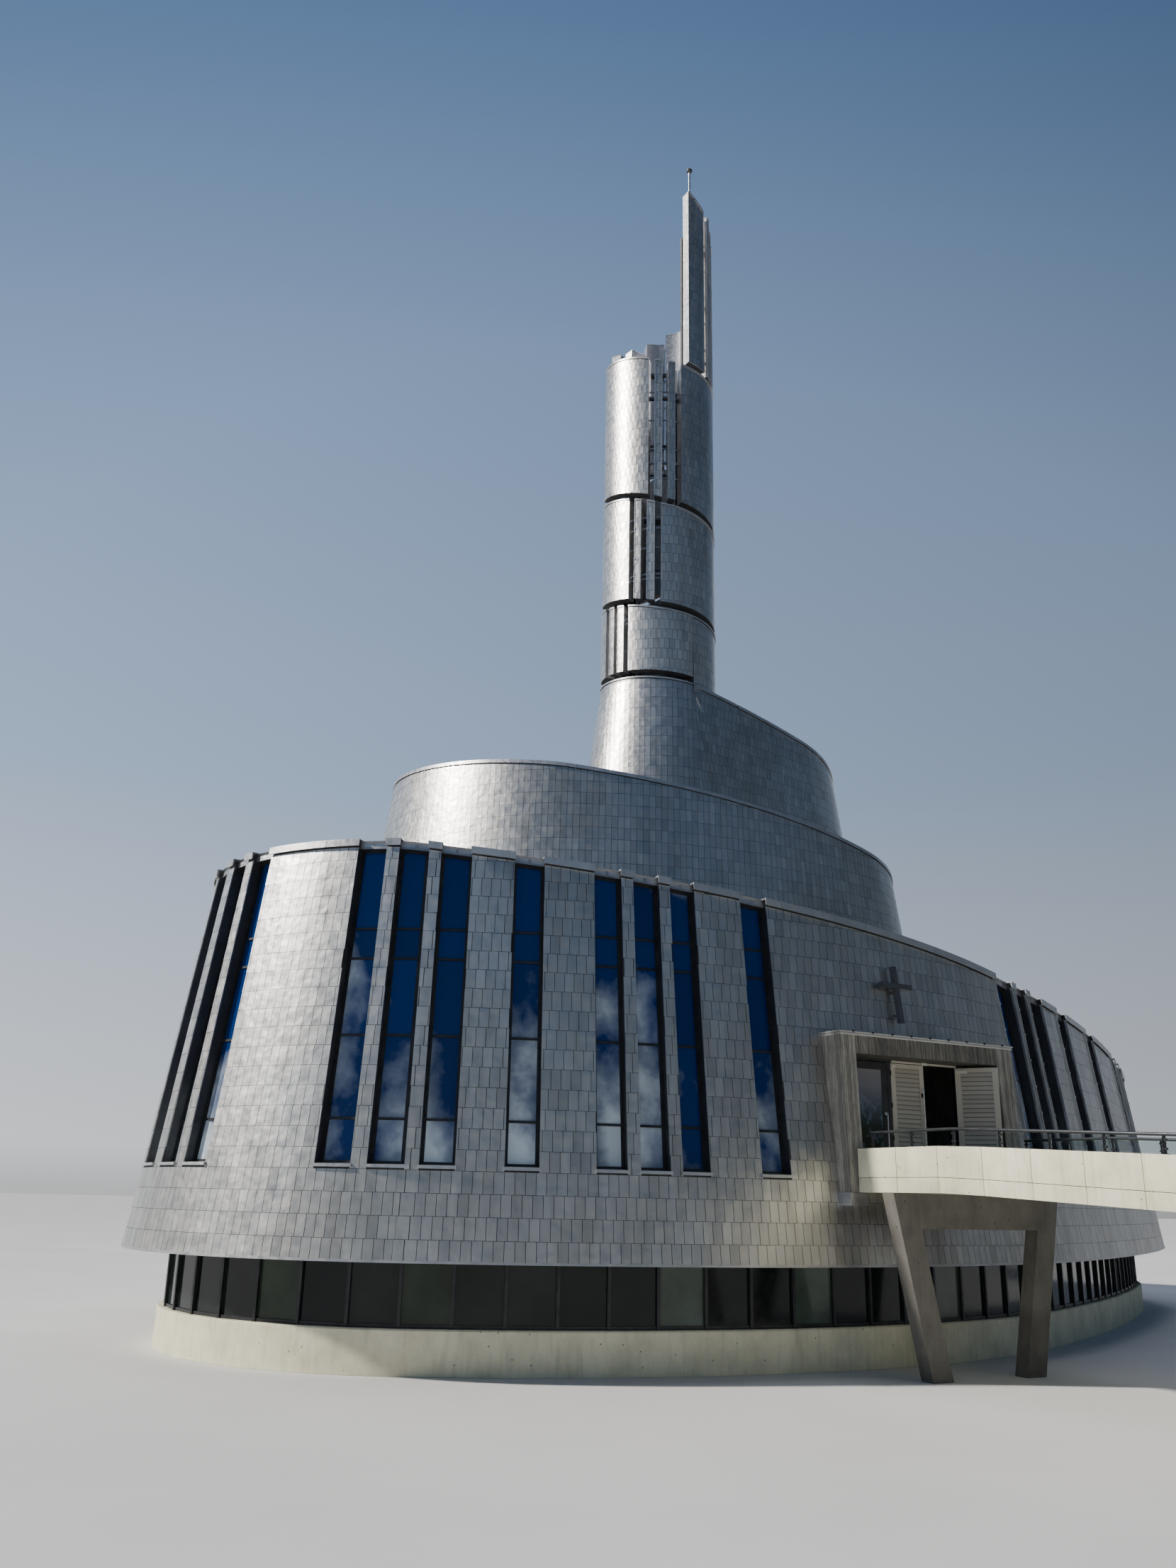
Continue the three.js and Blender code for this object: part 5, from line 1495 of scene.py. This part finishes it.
def solid_leaf(body, node, leaf):
    """A louvred leaf with its hinges and pull bar."""
    width, thickness = LEAF
    whole = (0.0, thickness)
    inside = (STILE, width - STILE)
    sheet = Sheet()
    for xs in ((0.0, STILE), (width - STILE, width)):
        leaf.block(sheet, xs, whole, (LEAF_FOOT, LEAF_TOP), 0, 0.9)
    low, high = LEAF_FOOT + FOOT_RAIL, LEAF_TOP - TOP_RAIL
    for zs in ((high, LEAF_TOP), (LEAF_FOOT, low)):
        leaf.block(sheet, inside, whole, zs, 0, 0.8)
    # The panel behind the louvres takes tone 0, the darkest: painted shade between the louvres.
    leaf.block(sheet, inside, LEAF_PANEL, (low, high), 0, 0.0)
    count = round((high - low) / LOUVRE_PITCH)
    pitch = (high - low) / count
    for i in range(count):
        z = low + i * pitch
        for outer, inner in ((0.004, LEAF_PANEL[0]), (thickness - 0.004, LEAF_PANEL[1])):
            profile = ((outer, 0.008), (outer, 0.02), (inner, pitch * 0.86), (inner, 0.008))
            quads = [[leaf.point(x, y, z + up) for y, up in profile] for x in inside]
            sheet.hexahedron(*quads, 0, 0.7 + random.uniform(-0.1, 0.1))
    for z in KNUCKLE_HEIGHTS:
        leaf.upright_bar(sheet, 0.0, 0.0, *around(z, KNUCKLE[1] / 2), KNUCKLE[0], 1, 12)
    make(body + "_louvres", sheet, [DOOR_PAINT, DARK_FRAME], [node], body)
    pull = leaf.pull_bar(width - PULL_IN, LEAF_PULL, 1)
    make(body + "_pull", pull, [TRIM_METAL, DARK_FRAME], (), body)


def build_doors():
    width, thickness = LEAF
    left = Leaf(DOOR_CENTRE - width - LEAF_GAP * 0.5, 1)
    right = Leaf(DOOR_CENTRE + width + LEAF_GAP * 0.5, -1, RIGHT_LEAF_OPEN)
    solid_leaf("left_leaf", "left_door_leaf", left)
    solid_leaf("right_leaf", "right_door_leaf", right)
    closer, bracket = Sheet(), Sheet()
    for xs, near, far, low, high in (
        ((0.03, 0.3), -0.001, 0.05, 0.12, 0.05), ((0.2, 0.215), 0.05, 0.06, 0.1, 0.07),
    ):
        right.block(closer, xs, (thickness + near, thickness + far), (LEAF_TOP - low, LEAF_TOP - high))
    make("right_leaf_closer", closer, [PALE_PLASTIC], (), "right_leaf", bevel=0.006)
    left.block(bracket, (0.03, 0.12), (-0.022, 0.001), (LEAF_TOP - 0.09, LEAF_TOP - 0.03))
    make("left_leaf_bracket", bracket, [PALE_PLASTIC], (), "left_leaf", bevel=0.004)

    inner_left = JAMB_LEFT + 0.002
    door_left = DOOR_CENTRE - width - LEAF_GAP * 1.5
    hinge = inner_left + DOOR_POST + LEAF_GAP
    x = door_left - DOOR_POST - LEAF_GAP - hinge - 0.085
    handle = Leaf(hinge, 1).pull_bar(x, GLASS_PULL)
    make("glass_door_handle", handle, [TRIM_METAL], (), "glass_door", bevel=0.002)


# Footbridge


def bridge_drop(s):
    return -BRIDGE_FALL * max(0.0, s - BRIDGE_FLAT)


def bridge_block(sheet, us, zs, ss, material=0, tone=0.5):
    """A block along the bridge, following its fall."""

    def point(u, z, s):
        return portal_point(BRIDGE_LEFT + u, s, z + bridge_drop(s))

    block(sheet, point, us, zs, ss, material, tone)


def build_parapet(name, u0):
    width, foot, top = PARAPET
    split = mix(foot, top, ROUGH_PART)
    sheet = Sheet()
    for i in range(round(BRIDGE_LENGTH / BAY)):
        s0, s1 = max(0.004, i * BAY) + BAY_JOINT, (i + 1) * BAY - BAY_JOINT
        tone = random.uniform(0.35, 1.0)
        bridge_block(sheet, (u0, u0 + width), (split + 0.005, top), (s0, s1), 0, tone)
        bridge_block(sheet, (u0 + 0.004, u0 + width - 0.004), (foot, split - 0.005), (s0, s1), 1, tone)
    make(name + "_bays", sheet, [CONCRETE, ROUGH_CONCRETE], ["bridge_" + name], bevel=0.009)
    # The core, in the dark copy of the concrete, paints shade in the open joints between the bays.
    core = Sheet()
    for s0, s1 in ((0.02, BRIDGE_FLAT), (BRIDGE_FLAT, BRIDGE_LENGTH - 0.02)):
        bridge_block(core, (u0 + 0.025, u0 + width - 0.025), (foot + 0.03, top - 0.03), (s0, s1), 0, 0.3)
    make(name + "_core", core, [SHADED_CONCRETE])


def build_railing(name, u):
    foot = PARAPET[2] + 0.001
    count = math.floor((BRIDGE_LENGTH - RAIL_START - 0.1) / BAY) + 1
    places = [RAIL_START + i * BAY for i in range(count)]
    sheet, glass = Sheet(), Sheet()
    top = foot + RAIL_HEIGHT - RAIL_RADIUS
    stops = [  # place along the bridge, part of the full radius
        (RAIL_START - 0.06, 0.5), (RAIL_START - 0.045, 0.92), (RAIL_START - 0.02, 1.0), (BRIDGE_FLAT, 1.0),
        (BRIDGE_LENGTH - 0.03, 1.0), (BRIDGE_LENGTH, 0.6),
    ]
    rings = []
    for s, part in stops:
        z = top + bridge_drop(s)
        section = circle(RAIL_RADIUS * part, 14)
        rings.append([portal_point(BRIDGE_LEFT + u + a, s, z + b) for a, b in section])
    sheet.loft(rings)
    for s in places:
        for off in (-0.016, 0.010):
            bridge_block(sheet, around(u, 0.025), (foot, top - 0.01), (s + off, s + off + 0.006))
        bridge_block(sheet, around(u, 0.045), (foot, foot + 0.012), around(s, 0.05))
        for z in (foot + 0.07, foot + 0.22):
            for clamp in around(s, 0.03):
                bridge_block(sheet, around(u, 0.022), (z, z + 0.035), around(clamp, 0.016))
    make(name + "_rail", sheet, [RAIL_STEEL], ["bridge_" + name])
    thickness, low, high = RAIL_GLASS
    for s0, s1 in zip(places, places[1:]):
        bridge_block(glass, around(u, thickness / 2), (foot + low, foot + high), (s0 + 0.035, s1 - 0.035))
    make(name + "_glass", glass, [CLEAR_GLASS])


def build_bridge():
    for side, u in (("left", 0.0), ("right", BRIDGE_WIDTH - PARAPET[0])):
        build_parapet("parapet_" + side, u)
    for side, u in (("left", RAIL_INSET), ("right", BRIDGE_WIDTH - RAIL_INSET)):
        build_railing("railing_" + side, u)


# Nodes of the frame that keep their shape

KEPT = {
    "tower_steel_frame": STEEL, "main_floor": PLASTER, "ground_slab": PLASTER,
    "portal_frame": BOARDS, "portal_floor": CONCRETE, "door_frame": DARK_FRAME,
    "entrance_side_glass": DOOR_GLASS, "glass_door_frame": DARK_FRAME, "glass_door_pane": DOOR_GLASS,
    # The piers take the dark copy of the concrete: painted shade.
    "bridge_deck": CONCRETE, "bridge_pier_near": SHADED_CONCRETE, "bridge_pier_far": SHADED_CONCRETE,
    "wall_cross": CROSS_METAL,
}


def dress_kept_nodes():
    for node, material in KEPT.items():
        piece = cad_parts[node]
        piece.data.materials.clear()
        piece.data.materials.append(material)


# Stage, light and camera


def build_stage():
    mesh = bpy.data.meshes.new("floor")
    corners = [(-1, -1), (1, -1), (1, 1), (-1, 1)]
    mesh.from_pydata([(x * FLOOR_REACH, y * FLOOR_REACH, 0) for x, y in corners], [], [(0, 1, 2, 3)])
    look = Look("pale_floor", 0.9)
    look.colour(look.ramp(look.noise(0.4, 3), [(0.3, (0.66, 0.66, 0.65)), (0.7, (0.72, 0.72, 0.71))]))
    mesh.materials.append(look.material)
    floor = bpy.data.objects.new("floor", mesh)
    bpy.context.scene.collection.objects.link(floor)
    floor.location.z = -FLOOR_DROP
    floor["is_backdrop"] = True


def build_sky():
    """A soft sky: deep behind the camera, where the metal looks for it, pale behind the building."""
    world = bpy.data.worlds.new("soft_sky")
    bpy.context.scene.world = world
    world.use_nodes = True
    sky = Nodes(world.node_tree, "Generated")
    background = sky.tree.nodes["Background"]
    axes = sky.axes()
    back = sky.span(axes["Y"], *SKY_TURN)
    colours = sky.blend(back, sky.ramp(axes["Z"], SKY_FRONT), sky.ramp(axes["Z"], SKY_BACK))
    sky.feed(background.inputs["Color"], colours)
    sky.feed(background.inputs["Strength"], sky.span(axes["X"], -1.0, 1.0, *SKY_STRENGTH))


def add_light(name, kind, place, energy, colour):
    data = bpy.data.lights.new(name, kind)
    data.energy = energy
    data.color = colour
    lamp = bpy.data.objects.new(name, data)
    bpy.context.scene.collection.objects.link(lamp)
    lamp.location = place
    way = Vector(LIGHT_TARGET) - Vector(place)
    lamp.rotation_euler = way.to_track_quat("-Z", "Y").to_euler()
    return data


def build_lights():
    place, energy, angle, colour = SUN
    add_light("sun", "SUN", place, energy, colour).angle = math.radians(angle)
    for name, place, size, energy, colour in FILLS:
        add_light(name, "AREA", place, energy, colour).size = size


def build_camera():
    data = bpy.data.cameras.new("camera")
    data.sensor_fit = "VERTICAL"
    data.sensor_height = CAMERA_SENSOR
    data.lens = CAMERA_LENS
    data.clip_end = CAMERA_REACH
    camera = bpy.data.objects.new("camera", data)
    bpy.context.scene.collection.objects.link(camera)
    tilt = Matrix.Rotation(math.radians(90 + CAMERA_TILT), 4, "X")
    roll = Matrix.Rotation(math.radians(CAMERA_ROLL), 4, "Z")
    camera.matrix_world = Matrix.Translation(CAMERA_PLACE) @ tilt @ roll
    bpy.context.scene.camera = camera


build_camera()
build_stage()
build_sky()
build_lights()
build_tiers()
build_lower_walls()
build_end_wall()
build_windows()
build_tower()
build_finial()
build_roofs()
build_ground_storey()
build_portal()
build_doors()
build_bridge()
dress_kept_nodes()

boxes = {"cad": cad_box, "visual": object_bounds()}
{name: [list(corner) for corner in box] for name, box in boxes.items()}
